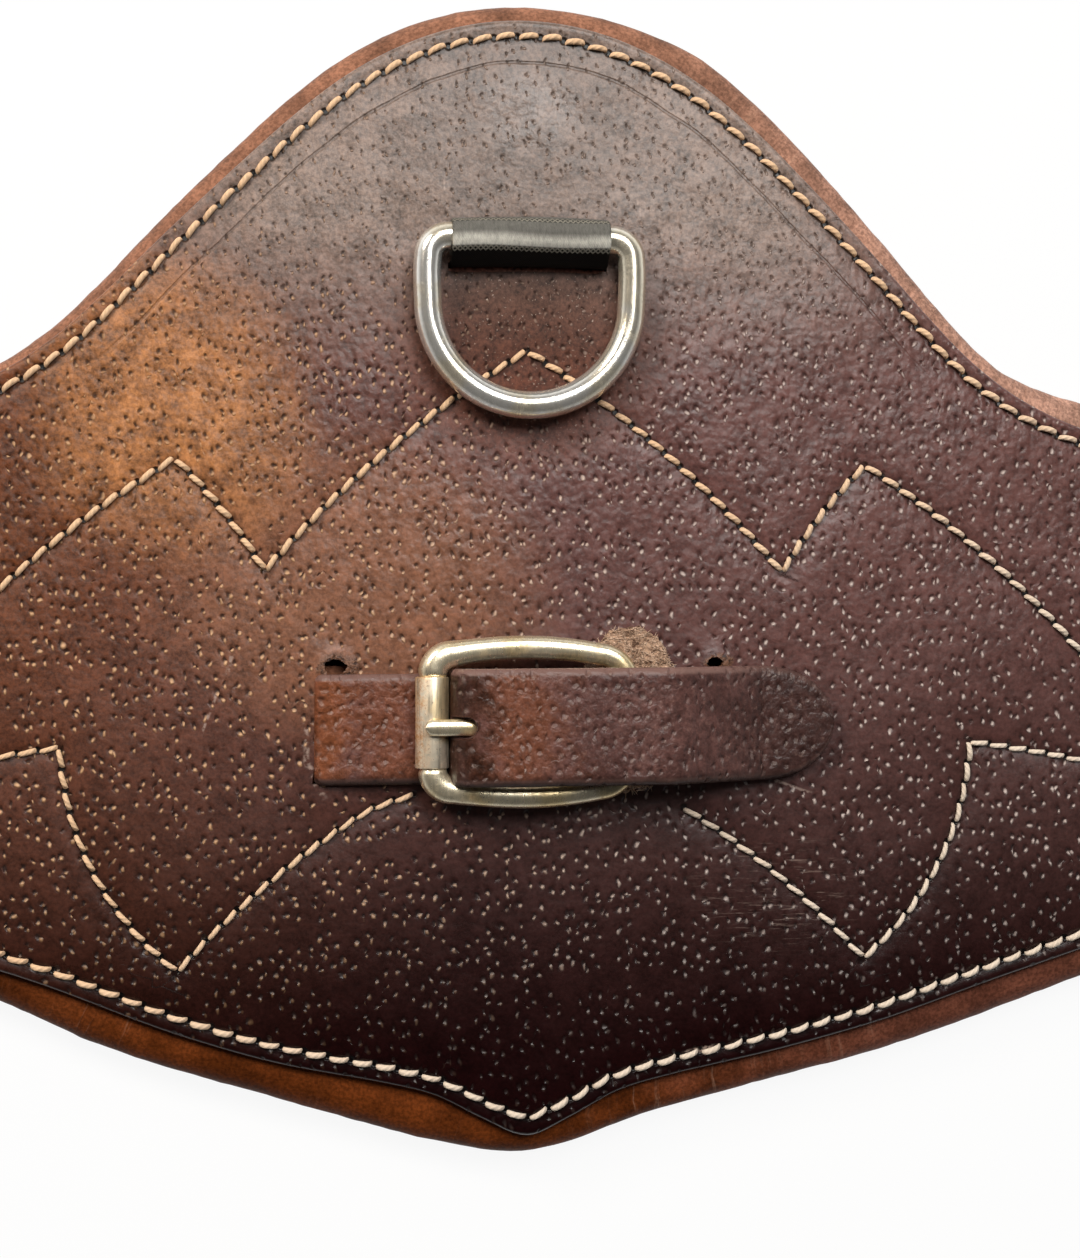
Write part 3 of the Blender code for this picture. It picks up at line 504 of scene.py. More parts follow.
def faceLook():
    g = grainLeather
    look = Look("grainedFaceLeather", Specular_IOR_Level=0.36)
    place = look.place()
    across, along = look.axis(place, "X"), look.axis(place, "Y")
    patchy = look.grain(place, g["patch"], 4)
    mottle = look.grain(place, g["mottle"], 5, 0.65)
    fine = look.grain(place, g["fine"], 4, 0.7)
    lumps = look.grain(place, g["lump"], 1)
    slanted = look.moved(look.warped(place, 5 * mm, 2 * mm), turn=-0.35, stretch=(1, 0.28, 1))
    wrinkle = look.grain(slanted, g["wrinkle"], 1.5)
    pebble = pebbles(look, place, g["pebble"])

    # broad tones
    left = across.fade(*g["warmSide"]) * along.step(*g["warmHeight"])
    # painted warm highlight left of the buckle
    paintedWarmHighlight = softSpot(across, along, *g["paintedWarmHighlightSpot"], (patchy - 0.5) * 0.6)
    # painted warm highlight at the upper left, standing in for a window's reflection
    tan = softSpot(across, along, *g["paintedWarmSheenSpot"], (patchy - 0.5) * 0.9)
    ringShade = softSpot(across, along, *g["ringSpot"], (patchy - 0.5) * 0.4)
    hump = along.step(*g["humpHeight"]) * across.abs().fade(*g["humpSide"])
    dark = along.fade(*g["darkHeight"])
    height = along + (patchy - 0.5) * g["patch"]
    # darker towards the point: partly the leather's own tone, partly painted shade
    colour = look.tint(height.step(*g["paleHeight"]), g["lower"], g["upper"])
    # warmer on the left: partly the leather's own tone, partly painted warm light
    colour = look.tint(left * 0.9, colour, g["warm"])
    # inside the ring, darker and redder: partly rubbed dirt, partly painted shade of the ring and its loop
    colour = look.tint(ringShade * 0.7, colour, g["inRing"])
    # the crown: partly its own greyer tone, partly painted sheen
    colour = look.tint(hump * 0.85, colour, g["crownToneAndPaintedSheen"])
    colour = look.tint(paintedWarmHighlight * 0.75, colour, g["paintedWarmHighlight"])
    colour = look.tint(tan * (0.25 + mottle), colour, g["tan"])

    # grain and pores
    upper = along.step(*g["wrinkledHeight"])
    folds = upper * (0.45 + 0.55 * patchy.step(0.35, 0.65))
    crackle = wrinkle.step(0.36, 0.64)
    tone = 0.34 + 0.35 * mottle.step(0.26, 0.74) + 0.15 * pebble + 0.6 * fine + 0.12 * crackle * folds
    lively = 0.4 + 0.6 * left.top(hump).top(ringShade)
    tone = tone + lively * (0.55 * fine.step(0.32, 0.68) + 0.25 * mottle.step(0.3, 0.7) - 0.4)
    # the crown's sides painted lighter, as sheen
    paintedSheenOnHumpSides = 1 + 0.28 * hump * across.abs().step(*g["humpEdges"])
    colour = look.shade(colour, tone * (1 - 0.5 * ringShade) * paintedSheenOnHumpSides)
    pit, speck, dimple = pores(look, place, 1 - 0.4 * hump)
    # dimples round the pits painted darker, as shade
    colour = look.shade(colour, 1.08 - 0.24 * dimple)
    rightward = across.step(*g["speckSide"])
    # pits painted dark, as the shade inside the pores
    pitShare = pit * (0.85 - 0.55 * rightward) * (1 - 0.3 * hump)
    colour = look.tint(pitShare, colour, look.tint(left, g["pit"], g["pitWarm"]))
    # pale specks on the rims: partly pale wax, partly painted highlight
    paleZone = (1 - 0.65 * hump) * (1 - 0.6 * ringShade) * (1 - 0.4 * tan) * (1 - 0.965 * dark)
    paleZone = paleZone * (0.4 + 0.8 * patchy)
    colour = look.tint(speck * paleZone, colour, look.tint(rightward, g["speckLeft"], g["speckRight"]))
    flecks = look.grain(place, g["flecks"], 2).step(0.66, 0.73) * ringShade
    colour = look.tint(flecks * 0.6, colour, g["fleck"])

    # needle holes, grooves and the crease inside the edge, all painted darker as their shade
    gap, phase, beside = (look.point(name, "Fac") for name in ("seamGap", "seamPhase", "seamBeside"))
    fromHole = ((phase + 0.5).fract() - 0.5).abs() * 4.8
    hole = (fromHole * fromHole * 0.9 + gap * gap * 0.7).fade(0.1, 0.72) * beside
    groove = gap.abs().fade(0.4, 1.8) * beside
    fromCrease = (look.point("edgeGap", "Fac") - g["creaseFromEdge"] + (patchy - 0.5) * 3).abs()
    crease = fromCrease.fade(0.15, 0.5) * along.step(*g["creaseHeight"])
    colour = look.shade(colour, 1 - 0.45 * groove - 0.3 * crease)
    colour = look.tint(hole, colour, g["hole"])

    # wear
    rim = look.point("holeRim", "Fac")
    torn = (rim * 1.3 * (0.3 + 0.7 * mottle + 0.6 * (fine - 0.5))).step(0.2, 0.7)
    colour = look.tint(torn, colour, look.tint(fine.step(0.35, 0.6), g["rimDark"], g["rim"]))
    colour = look.tint(scuffs(look, place, across, along) * (0.35 + 0.65 * fine), colour, g["scuff"])
    polish = softSpot(across, along, *g["polishSpot"], (mottle - 0.5) * 0.8)
    rough = (0.24 + 0.14 * mottle + 0.06 * fine + 0.25 * pit + 0.42 * ringShade + 0.1 * left
             - 0.12 * polish - 0.12 * dark)
    waves = look.grain(place, g["wave"], 1)
    relief = (0.35 + 0.65 * upper) * (1 - 0.45 * hump)
    nose = along.fade(*g["noseHeight"])
    bump = ((0.22 * lumps + 0.10 * pebble) * relief + 0.34 * wrinkle * folds * relief
            + (0.016 + 0.05 * lively) * fine + 0.7 * waves * hump
            - (0.24 * pit + 0.08 * dimple) * (1 - 0.5 * hump - 0.5 * nose) + 0.20 * speck * (1 - 0.8 * nose)
            - 0.5 * hole - 0.14 * crease + 0.3 * rim * fine)
    return look.finish(colour, rough, bump)


rollLeather = {
    "upper": (0.245, 0.112, 0.068), "lower": (0.125, 0.030, 0.006), "red": (0.175, 0.058, 0.034),
    "streak": (0.42, 0.24, 0.16), "rubbed": (0.50, 0.29, 0.22),
    "mottle": 9 * mm, "fine": 0.8 * mm, "wrinkle": 1.3 * mm, "burst": 30 * mm,
    "redSide": (10 * mm, 90 * mm), "upperHeight": (-80 * mm, 60 * mm),
    "rubbedSide": (10 * mm, 130 * mm), "rubbedHeight": (30 * mm, 60 * mm),
}


def liningLook():
    r = rollLeather
    look = Look("rolledLiningLeather", Specular_IOR_Level=0.05)
    place = look.place()
    run = look.point("roll")
    across, along = look.axis(place, "X"), look.axis(place, "Y")
    mottle = look.grain(place, r["mottle"], 5, 0.6)
    fine = look.grain(place, r["fine"], 4, 0.6)
    wrinkle = look.grain(look.moved(run, stretch=(1, 0.08, 1)), r["wrinkle"], 4, 0.6)
    burst = look.grain(run, r["burst"], 2).step(0.42, 0.68)
    uneven = mottle - 0.5
    colour = look.tint((across + uneven * (50 * mm)).step(*r["redSide"]), r["lower"], r["red"])
    colour = look.tint((along + uneven * (40 * mm)).step(*r["upperHeight"]), colour, r["upper"])
    rubbed = (across + uneven * (30 * mm)).step(*r["rubbedSide"]) * along.step(*r["rubbedHeight"])
    colour = look.tint(rubbed * (0.3 + 0.8 * wrinkle), colour, r["rubbed"])
    colour = look.shade(colour, 0.42 + 0.7 * mottle.step(0.25, 0.75) + 0.25 * wrinkle)
    colour = look.tint(wrinkle.step(0.55, 0.75) * burst.top(rubbed) * 0.45, colour, r["streak"])
    colour = look.shade(colour, 0.66 + 0.68 * fine.step(0.3, 0.7))
    bump = 0.35 * wrinkle * (0.35 + burst.top(rubbed)) + 0.1 * fine + 0.12 * mottle
    return look.finish(colour, 0.38 + 0.25 * mottle, bump)


strapLeather = {
    "main": (0.108, 0.050, 0.043), "dark": (0.080, 0.035, 0.030), "worn": (0.195, 0.062, 0.026),
    "fold": (0.030, 0.010, 0.005), "dust": (0.36, 0.24, 0.18), "paintedEdgeShade": (0.012, 0.005, 0.004),
    "edge": (0.17, 0.095, 0.080),
    "patch": 12 * mm, "mottle": 3.6 * mm, "lump": 2.6 * mm, "pebble": 2.3 * mm, "wrinkle": 1.5 * mm,
    "fine": 0.8 * mm, "poreScale": 1.25, "tipFade": 22 * mm, "foldAfter": 12 * mm,
    "foldFrom": (-12 * mm, -8 * mm),
}


def strapLook(name, wornRuns=(), fold=None, darkFrom=None, paintedShadeBand=None, relief=0.5):
    # wornRuns: (middle, half, share) along the strip, fold: where it bends round the roller, all in metres
    # the lower-edge band: (full, none) across the strip, where its lower edge is painted dark, as shade
    s = strapLeather
    look = Look(name, Specular_IOR_Level=0.26)
    strip = look.point("strip")
    run = look.axis(strip, "X")
    patchy = look.grain(strip, s["patch"], 3)
    mottle = look.grain(strip, s["mottle"], 5, 0.65)
    fine = look.grain(strip, s["fine"], 4, 0.7)
    slanted = look.moved(look.warped(strip, 4 * mm, 2 * mm), turn=0.7, stretch=(1, 0.66, 1))
    wrinkle = look.grain(slanted, s["wrinkle"], 3, 0.6)
    colour = look.tint(patchy.step(0.3, 0.7), s["dark"], s["main"])
    for middle, half, share in wornRuns:
        worn = ((run - middle).abs() / half + (mottle - 0.5) * 1.6 + (patchy - 0.5) * 1.2).fade(0.0, 1.0)
        colour = look.tint(worn * share, colour, s["worn"])
    # both rounded edges painted lighter: partly a burnished edge, partly painted highlight
    edgeShare = look.point("stripEdge", "Fac").step(0.1, 0.9)
    if darkFrom:
        tip = run.step(darkFrom, darkFrom + s["tipFade"])
        colour = look.shade(colour, 1 - 0.5 * tip)
        edgeShare = edgeShare * (1 - 0.75 * tip)
    if fold:
        # darker just after the bend round the roller: partly rubbed wear, partly painted shade of the bend
        strands = look.grain(look.moved(strip, stretch=(1, 0.14, 1)), s["fine"], 3, 0.65)
        rubbed = ((run - fold) / s["foldAfter"] + (mottle - 0.5) * 1.4).fade(0.2, 1.0)
        rubbed = rubbed * run.step(*[fold + reach for reach in s["foldFrom"]])
        colour = look.tint(rubbed * (0.5 + 0.8 * strands), colour, s["fold"])
    crackle = wrinkle.step(0.36, 0.64)
    tone = 0.39 + 0.52 * mottle.step(0.28, 0.72) + 0.2 * crackle + 0.5 * fine.step(0.32, 0.68)
    colour = look.shade(colour, tone)
    colour = look.tint((fine * crackle).step(0.46, 0.66) * 0.14, colour, s["dust"])
    pit, speck, dimple = pores(look, strip, s["poreScale"])
    # pits painted dark as shade; specks pale, partly painted highlight
    colour = look.tint(pit * 0.35, colour, grainLeather["pit"])
    colour = look.tint(speck * 0.13, colour, grainLeather["speckRight"])
    colour = look.tint(edgeShare, colour, s["edge"])
    if paintedShadeBand:
        # the strap's lower edge painted dark, as shade
        paintedEdgeShade = (look.axis(strip, "Y") + (mottle - 0.5) * (2 * mm)).fade(*paintedShadeBand)
        colour = look.tint(paintedEdgeShade * 0.85, colour, s["paintedEdgeShade"])
    network = pebbles(look, strip, s["pebble"]).fade(0.42, 0.62) * patchy.step(0.3, 0.6)
    lumps = look.grain(strip, s["lump"])
    bump = (relief * (0.45 * lumps + 0.4 * wrinkle + 0.28 * speck - 0.12 * network)
            + 0.03 * fine - 0.2 * pit - 0.12 * dimple)
    return look.finish(colour, 0.24 + 0.16 * mottle + 0.08 * fine, bump)


def suedeLook(name, deep, pale):
    look = Look(name, Specular_IOR_Level=0.15)
    place = look.place()
    tuft = look.grain(place, 2.2 * mm, 5, 0.7)
    combed = look.moved(look.warped(place, 4 * mm, 3 * mm), turn=0.5, stretch=(0.16, 1, 1))
    fibre = look.grain(combed, 0.45 * mm, 4, 0.7)
    colour = look.tint((0.45 * tuft + 0.55 * fibre).step(0.36, 0.62), deep, pale)
    return look.finish(colour, 0.85 + 0.1 * fibre, 0.8 * tuft + 0.5 * fibre)


def cutEdgeLook(name, deep, pale):  # the bare edge of cut leather
    look = Look(name, Specular_IOR_Level=0.4)
    fine = look.grain(look.place(), 1.2 * mm, 4, 0.65)
    return look.finish(look.tint(fine.step(0.3, 0.7), deep, pale), 0.4 + 0.2 * fine, 0.1 * fine)


linenThread = {"warm": (0.78, 0.52, 0.32), "pale": (0.76, 0.64, 0.52), "dirt": (0.36, 0.21, 0.12),
               "paleFrom": (-40 * mm, 130 * mm)}


def threadLook():
    look = Look("sewingThread", Specular_IOR_Level=0.25)
    place = look.place()
    strip = look.point("strip")
    ply = (look.axis(strip, "X") * 2.4 + look.axis(strip, "Y") * 2.0).sin()
    dirt = look.grain(place, 7 * mm, 4, 0.65)
    fine = look.grain(place, 0.5 * mm, 3, 0.6)
    pale = (look.axis(place, "X") - look.axis(place, "Y") * 1.4).step(*linenThread["paleFrom"])
    colour = look.tint(pale, linenThread["warm"], linenThread["pale"])
    colour = look.tint(dirt.step(0.5, 0.85) * 0.4, colour, linenThread["dirt"])
    colour = look.shade(colour, 0.9 + 0.07 * ply + 0.1 * fine)
    return look.finish(colour, 0.62 + 0.2 * fine, 0.05 * ply + 0.05 * fine)


# the dust colour is the grey of the band painted over the knit as sheen
wovenElastic = {"deep": (0.0006, 0.0006, 0.0006), "fluff": (0.0035, 0.0032, 0.003),
                "dust": (0.58, 0.56, 0.50), "thread": (0.30, 0.28, 0.23), "zigzag": 1.1 * mm,
                "weave": (0.5 * mm, 0.7 * mm), "wander": (0.4 * mm, 5.5 * mm)}


def elasticLook(name, fromRow, paintedSheenBand=None):
    # fromRow(run): way to the nearest row of zigzag thread; the band function (run): 0 to 1, the share of the
    # grey band painted on as sheen
    e = wovenElastic
    look = Look(name, Specular_IOR_Level=0.12)
    strip = look.point("strip")
    run, across = look.axis(strip, "X"), look.axis(strip, "Y")
    run = run + e["wander"][0] * (across / e["wander"][1] + 0.6).sin()
    zigzag = ((across / e["zigzag"]).fract() - 0.5).abs() * e["zigzag"]
    thread = (fromRow(run) - zigzag).abs().fade(0.1 * mm, 0.34 * mm)
    weave = ((across / e["weave"][0]) * math.tau).sin() * ((run / e["weave"][1]) * math.tau).sin()
    fluff = look.grain(strip, 0.9 * mm, 4, 0.7)
    colour = look.tint(fluff, e["deep"], e["fluff"])
    # grey band painted on as sheen
    if paintedSheenBand:
        threads = look.grain(look.moved(strip, stretch=(0.3, 1, 1)), 0.35 * mm, 3, 0.6)
        colour = look.tint(paintedSheenBand(run) * (0.1 + 0.7 * fluff + 0.9 * threads), colour, e["dust"])
    colour = look.shade(colour, 1 - 0.7 * fromRow(run).fade(0.5 * mm, 0.9 * mm))
    colour = look.tint(thread * (0.2 + 0.9 * fluff), colour, e["thread"])
    return look.finish(colour, 0.5 + 0.2 * fluff, 0.03 * weave + 0.10 * thread + 0.05 * fluff)


def steelLook(name, bright, tarnish, share, rough, metal, streak=0.3, rustFrom=None):
    # share: how much of it is tarnished, rustFrom: (full, none) along X
    look = Look(name)
    place = look.place()
    cloud = look.grain(place, 4.5 * mm, 6, 0.65)
    specks = look.grain(place, 0.7 * mm, 4, 0.7)
    scratch = look.grain(look.moved(place, turn=0.05, stretch=(1, 0.10, 1)), 0.8 * mm, 3, 0.6)
    stain = (cloud * 0.7 + specks * 0.3).step(0.50, 0.72) * share
    if rustFrom:
        rusty = look.axis(place, "X").fade(*rustFrom)
        stain = stain.top(rusty * (cloud * 0.5 + specks * 0.5).step(0.36, 0.62))
    golden = look.grain(place, 9 * mm).step(0.42, 0.62) * (streak + 0.2)
    gold = [c * k for c, k in zip(bright, (0.88, 0.76, 0.5))]
    colour = look.tint(stain, look.tint(golden.least(0.7), bright, gold), tarnish)
    dull = 0.5 * streak * (scratch.step(0.45, 0.7) + specks.step(0.58, 0.72))
    colour = look.shade(colour, 1.08 - dull)
    shine = rough + 0.35 * stain + 0.08 * scratch
    return look.finish(colour, shine, 0.02 * specks + 0.02 * scratch, metal - 0.5 * stain)


def hiddenLook(name, colour, lump):  # webbing and board inside the body
    look = Look(name)
    weave = look.grain(look.place(), lump, 3)
    return look.finish(look.tint(weave, colour, [0.6 * c for c in colour]), 0.85 + 0.1 * weave, 0.1 * weave)


faceFinish = faceLook()
liningFinish = liningLook()
threadFinish = threadLook()
chapeFinish = strapLook("chapeLeather")
suedeFinish = suedeLook("fleshSideLeather", (0.052, 0.021, 0.011), (0.68, 0.44, 0.30))
fibreFinish = suedeLook("looseFibres", (0.46, 0.28, 0.18), (0.95, 0.70, 0.53))
cutEdgeFinish = cutEdgeLook("cutLeatherEdge", (0.05, 0.014, 0.010), (0.30, 0.11, 0.075))
ringSteel = steelLook("polishedSteel", (0.86, 0.84, 0.79), (0.42, 0.36, 0.28), 0.35, 0.14, 0.82)
buckleSteel = steelLook("agedSteel", (0.84, 0.74, 0.54), (0.30, 0.19, 0.09), 0.85, 0.24, 0.84, 0.5)
rollerMiddle = (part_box("keeper_buckle_roller")[0].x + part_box("keeper_buckle_roller")[1].x) / 2
rollerRust = (rollerMiddle - 3 * mm, rollerMiddle + 1 * mm)
rollerSteel = steelLook("wornRollerSteel", (0.90, 0.80, 0.63), (0.46, 0.22, 0.08), 0.9, 0.34, 0.84, 1.0,
                        rollerRust)
print("materials made")


# sewing: every stitch is its own loop of thread, dipping into the needle holes
sewing = {"fill": 0.90, "radius": 0.66 * mm, "slant": 0.36 * mm, "bow": 0.34 * mm, "rise": 0.20 * mm,
          "dip": 1.2 * mm, "round": 0.42, "rings": 9, "sides": 9, "lobes": 0.04, "seed": 7,
          "edgePitch": 5.1 * mm, "figurePitch": 4.7 * mm, "figureBow": 0.3, "figureSlim": 0.12,
          "slimFrom": (-20 * mm, 20 * mm), "lineStep": 0.5 * mm}
faceRims = rims("face_leather", (0, 0, 1))
faceTop = float(faceRims[0][0][2])
faceLow = float(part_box("face_leather")[0].z)
endTags = [(side, row) for side in ("left", "right") for row in ("lower", "upper")]
sewnRuns = []  # every run of sewing on the face: evenly spaced points and the stitch count so far


def stitchMesh(runs, outward, slim):
    w = sewing
    t = np.linspace(0, 1, w["rings"])
    turn = np.linspace(0, 2 * math.pi, w["sides"], endpoint=False)
    arch = np.sin(math.pi * t) ** w["round"]
    radius = w["radius"] * (0.7 + 0.3 * arch)
    lift = -w["dip"] + (w["dip"] + w["rise"]) * arch
    points, strips, faces = [], [], []
    draw = random.Random(w["seed"])
    for a, b in [pair for line in runs for pair in zip(line, line[1:])]:
        length = np.linalg.norm(b - a)
        forward = (b - a) / length
        left = np.array([-forward[1], forward[0]])
        bow = w["bow"] * outward * draw.uniform(0.6, 1.2)
        slant = w["slant"] * draw.uniform(0.75, 1.2)
        middle = (a + b) / 2
        pulled = slim * ramp(-middle[1], *w["slimFrom"])
        thick = draw.uniform(0.93, 1.07) * (1 - pulled)
        first = len(points)
        for k in range(w["rings"]):
            shift = (t[k] - 0.5) * length * (w["fill"] + 0.6 * pulled)
            side = slant * (t[k] - 0.5) * 2 + bow * arch[k]
            centre = middle + forward * shift + left * side
            lobed = radius[k] * thick * (1 + w["lobes"] * np.cos(3 * turn - 5.0 * t[k]))
            for reach, angle in zip(lobed, turn):
                x, y = centre + left * reach * math.cos(angle)
                points.append((x, y, faceTop + lift[k] + reach * math.sin(angle)))
                strips.append((8.0 * t[k], angle, 0.0))
        faces += [[first + c for c in face] for face in ringFaces(w["rings"], w["sides"])]
    return points, strips, faces


def sew(name, node, pitch, slim=0.0):  # slim: how much thinner the thread is pulled towards the point
    line, closed = ridge(node)
    flat, outward = line[:, :2], sewing["figureBow"]
    if closed:
        flat = bent(flat)
        outward = -math.copysign(1, loopArea(flat))
        flat = np.vstack([flat, flat[:1]])
    runs = []
    for part in splitAtCorners(flat):
        smoothed = curveThrough(part, sewing["lineStep"]) if len(part) > 2 else part
        count = max(1, round(lineLength(smoothed) / pitch))
        runs.append(even(smoothed, lineLength(smoothed) / count))
        fineLine = even(smoothed, fineStep)
        sewnRuns.append((fineLine, np.linspace(0, count, len(fineLine))))
    points, strips, faces = stitchMesh(runs, outward, slim)
    piece = addPiece(name, points, faces, threadFinish, 80)
    setPointData(piece, "strip", strips)
    standFor(piece, "girth", "thread", node)


sew("perimeterStitches", "perimeter_seam", sewing["edgePitch"])
sew("figureStitches", "figure_seam", sewing["figurePitch"], sewing["figureSlim"])
for side, row in endTags:
    sew(f"boxStitches{side.title()}{row.title()}", f"box_seam_{side}_{row}", sewing["figurePitch"])
print("sewing made:", len(sewnRuns), "runs")


# where the sewing lies, for the grooves and needle holes in the face
seamReach = {"beside": (3 * mm, 6 * mm), "pastEnd": (0.5 * mm, 1.2 * mm), "pitch": 4.9 * mm}
seamSpots = np.vstack([line for line, _ in sewnRuns])
seamWays = np.vstack([tangents(line) for line, _ in sewnRuns])
seamCounts = np.concatenate([counts for _, counts in sewnRuns])
seamTree = treeOf(seamSpots)


def nearSeam(flat):  # signed gap to the nearest seam, stitch count along it, distance, and 1 beside the seam
    nearest = np.array([seamTree.find((x, y, 0))[1] for x, y in flat])
    offset, way = flat - seamSpots[nearest], seamWays[nearest]
    gap = way[:, 0] * offset[:, 1] - way[:, 1] * offset[:, 0]
    forward = (way * offset).sum(axis=1)
    far = np.linalg.norm(offset, axis=1)
    beside = (1 - ramp(far, *seamReach["beside"])) * (1 - ramp(np.abs(forward), *seamReach["pastEnd"]))
    return gap, seamCounts[nearest] + forward / seamReach["pitch"], far, beside


# face leather: one sheet over the padding, pulled down along its sewing, with cut slots for the straps
faceSheet = {
    "guardReach": 226 * mm, "guardStep": 1.5 * mm, "armStep": 4.0 * mm, "armGap": 14 * mm, "rows": 118,
    "edgeRows": (0, 0.2, 0.5, 0.95, 1.6, 2.6), "endRows": (4, 5.5, 7.5, 10, 13), "endGap": 0.02 * mm,
    "edgeStep": 1.2 * mm, "edgeOut": 0.5 * mm, "edgeDrop": 0.75, "edgeRound": 0.85 * mm,
    "wallOut": 0.1 * mm, "wallFoot": 0.8 * mm, "wallHead": 1.3 * mm, "lower": 0.2,
    "groove": 0.42, "grooveWidth": 1.25 * mm, "pillow": 0.35, "pillowWidth": 5.0 * mm, "pillowEdge": 8 * mm,
    "waveEdge": 10 * mm, "lip": 0.35, "lipAt": 0.6 * mm, "lipWidth": 2.2 * mm,
    "rim": 0.6, "rimAt": 1.35, "rimWidth": 0.4, "rimWear": (1.1, 1.9), "rimSide": 0.8 * mm,
    "holeWide": 2.4 * mm, "holeTall": 1.7 * mm, "holePoints": 40, "holeRagged": 0.22, "slotJoin": (26, 33),
    "holeShift": {"left": (3.4 * mm, -1.4 * mm, 1.0), "right": (-0.1 * mm, -0.6 * mm, 0.72)},
    "slotShort": 3.2 * mm, "loopRaise": 2.8 * mm,
}
faceEdge = bent(curveThrough(faceRims[0][:, :2], faceSheet["edgeStep"], closed=True))
faceEdge = spread(faceEdge, faceSheet["edgeOut"])
slots = [(loop[:, :2].min(axis=0), loop[:, :2].max(axis=0)) for loop in faceRims[1:]]


def isLoopSlot(low, high):  # the ring loop's slot runs across the guard, the strap's two run up it
    return high[0] - low[0] > high[1] - low[1]


def slotHole(low, high):  # middle and half sizes of the worn hole at the upper end of a strap's slot
    f = faceSheet
    shiftX, shiftY, share = f["holeShift"]["left" if low[0] < 0 else "right"]
    middle = np.array([(low[0] + high[0]) / 2 + shiftX, high[1] - f["holeTall"] + shiftY])
    return middle, share * np.array([f["holeWide"], f["holeTall"]])


def slotLip(x, y, low, high):  # how far the leather stands up round a slot, in millimetres
    f = faceSheet
    dx = np.maximum(np.maximum(low[0] - x, x - high[0]), 0)
    dy = np.maximum(np.maximum(low[1] - y, y - high[1]), 0)
    lip = f["lip"] * np.exp(-((np.hypot(dx, dy) - f["lipAt"]) / f["lipWidth"]) ** 2)
    if not isLoopSlot(low, high):
        (holeX, holeY), (wide, tall) = slotHole(low, high)
        ring = np.hypot((x - holeX) / wide, (y - holeY) / tall)
        lip += f["rim"] * np.exp(-((ring - f["rimAt"]) / f["rimWidth"]) ** 2)
    return lip


def holeRim(spots, low, high):  # 1 on the worn rim of a strap's hole
    if isLoopSlot(low, high):
        return np.zeros(len(spots))
    middle, half = slotHole(low, high)
    beside = spots[:, 0] - middle[0] - faceSheet["rimSide"]
    ring = np.hypot(beside / (faceSheet["rimAt"] * half[0]), (spots[:, 1] - middle[1]) / half[1])
    return 1 - ramp(ring, *faceSheet["rimWear"])


def slotShape(low, high):  # a slit, with a worn oval hole at its upper end where it runs up the guard
    f = faceSheet
    foot = low[1] + f["loopRaise" if isLoopSlot(low, high) else "slotShort"]
    outline = [(low[0], foot), (high[0], foot)]
    if isLoopSlot(low, high):
        outline += [(high[0], high[1]), (low[0], high[1])]
    else:
        middle, half = slotHole(low, high)
        hole = []
        for turn in np.linspace(0, 2 * math.pi, f["holePoints"], endpoint=False):
            ragged = 1 + f["holeRagged"] * noise.noise((3 * math.cos(turn), 3 * math.sin(turn), low[0] * 100))
            hole.append(middle + ragged * half * np.array([math.cos(turn), math.sin(turn)]))
        last, first = f["slotJoin"]
        outline = hole[:last] + outline + hole[first:]
    return upright(outline, faceLow - 2 * mm, faceTop + 6 * mm)


def reachAcross(outline, x):  # lowest and highest point of a closed outline at x
    a, b = outline, np.roll(outline, -1, axis=0)
    crosses = (a[:, 0] - x) * (b[:, 0] - x) <= 0
    a, b = a[crosses], b[crosses]
    run = np.where(np.abs(b[:, 0] - a[:, 0]) < tiny, tiny, b[:, 0] - a[:, 0])
    heights = a[:, 1] + np.clip((x - a[:, 0]) / run, 0, 1) * (b[:, 1] - a[:, 1])
    return heights.min(), heights.max()


def swell(x, y):  # slow waves of a used leather sheet, in millimetres
    return (0.20 * np.sin(x / 0.031 + 1.1) * np.sin(y / 0.026 + 0.3) + 0.14 * np.sin((x + y) / 0.017 + 2.0)
            + 0.10 * np.sin((x - 1.6 * y) / 0.012))


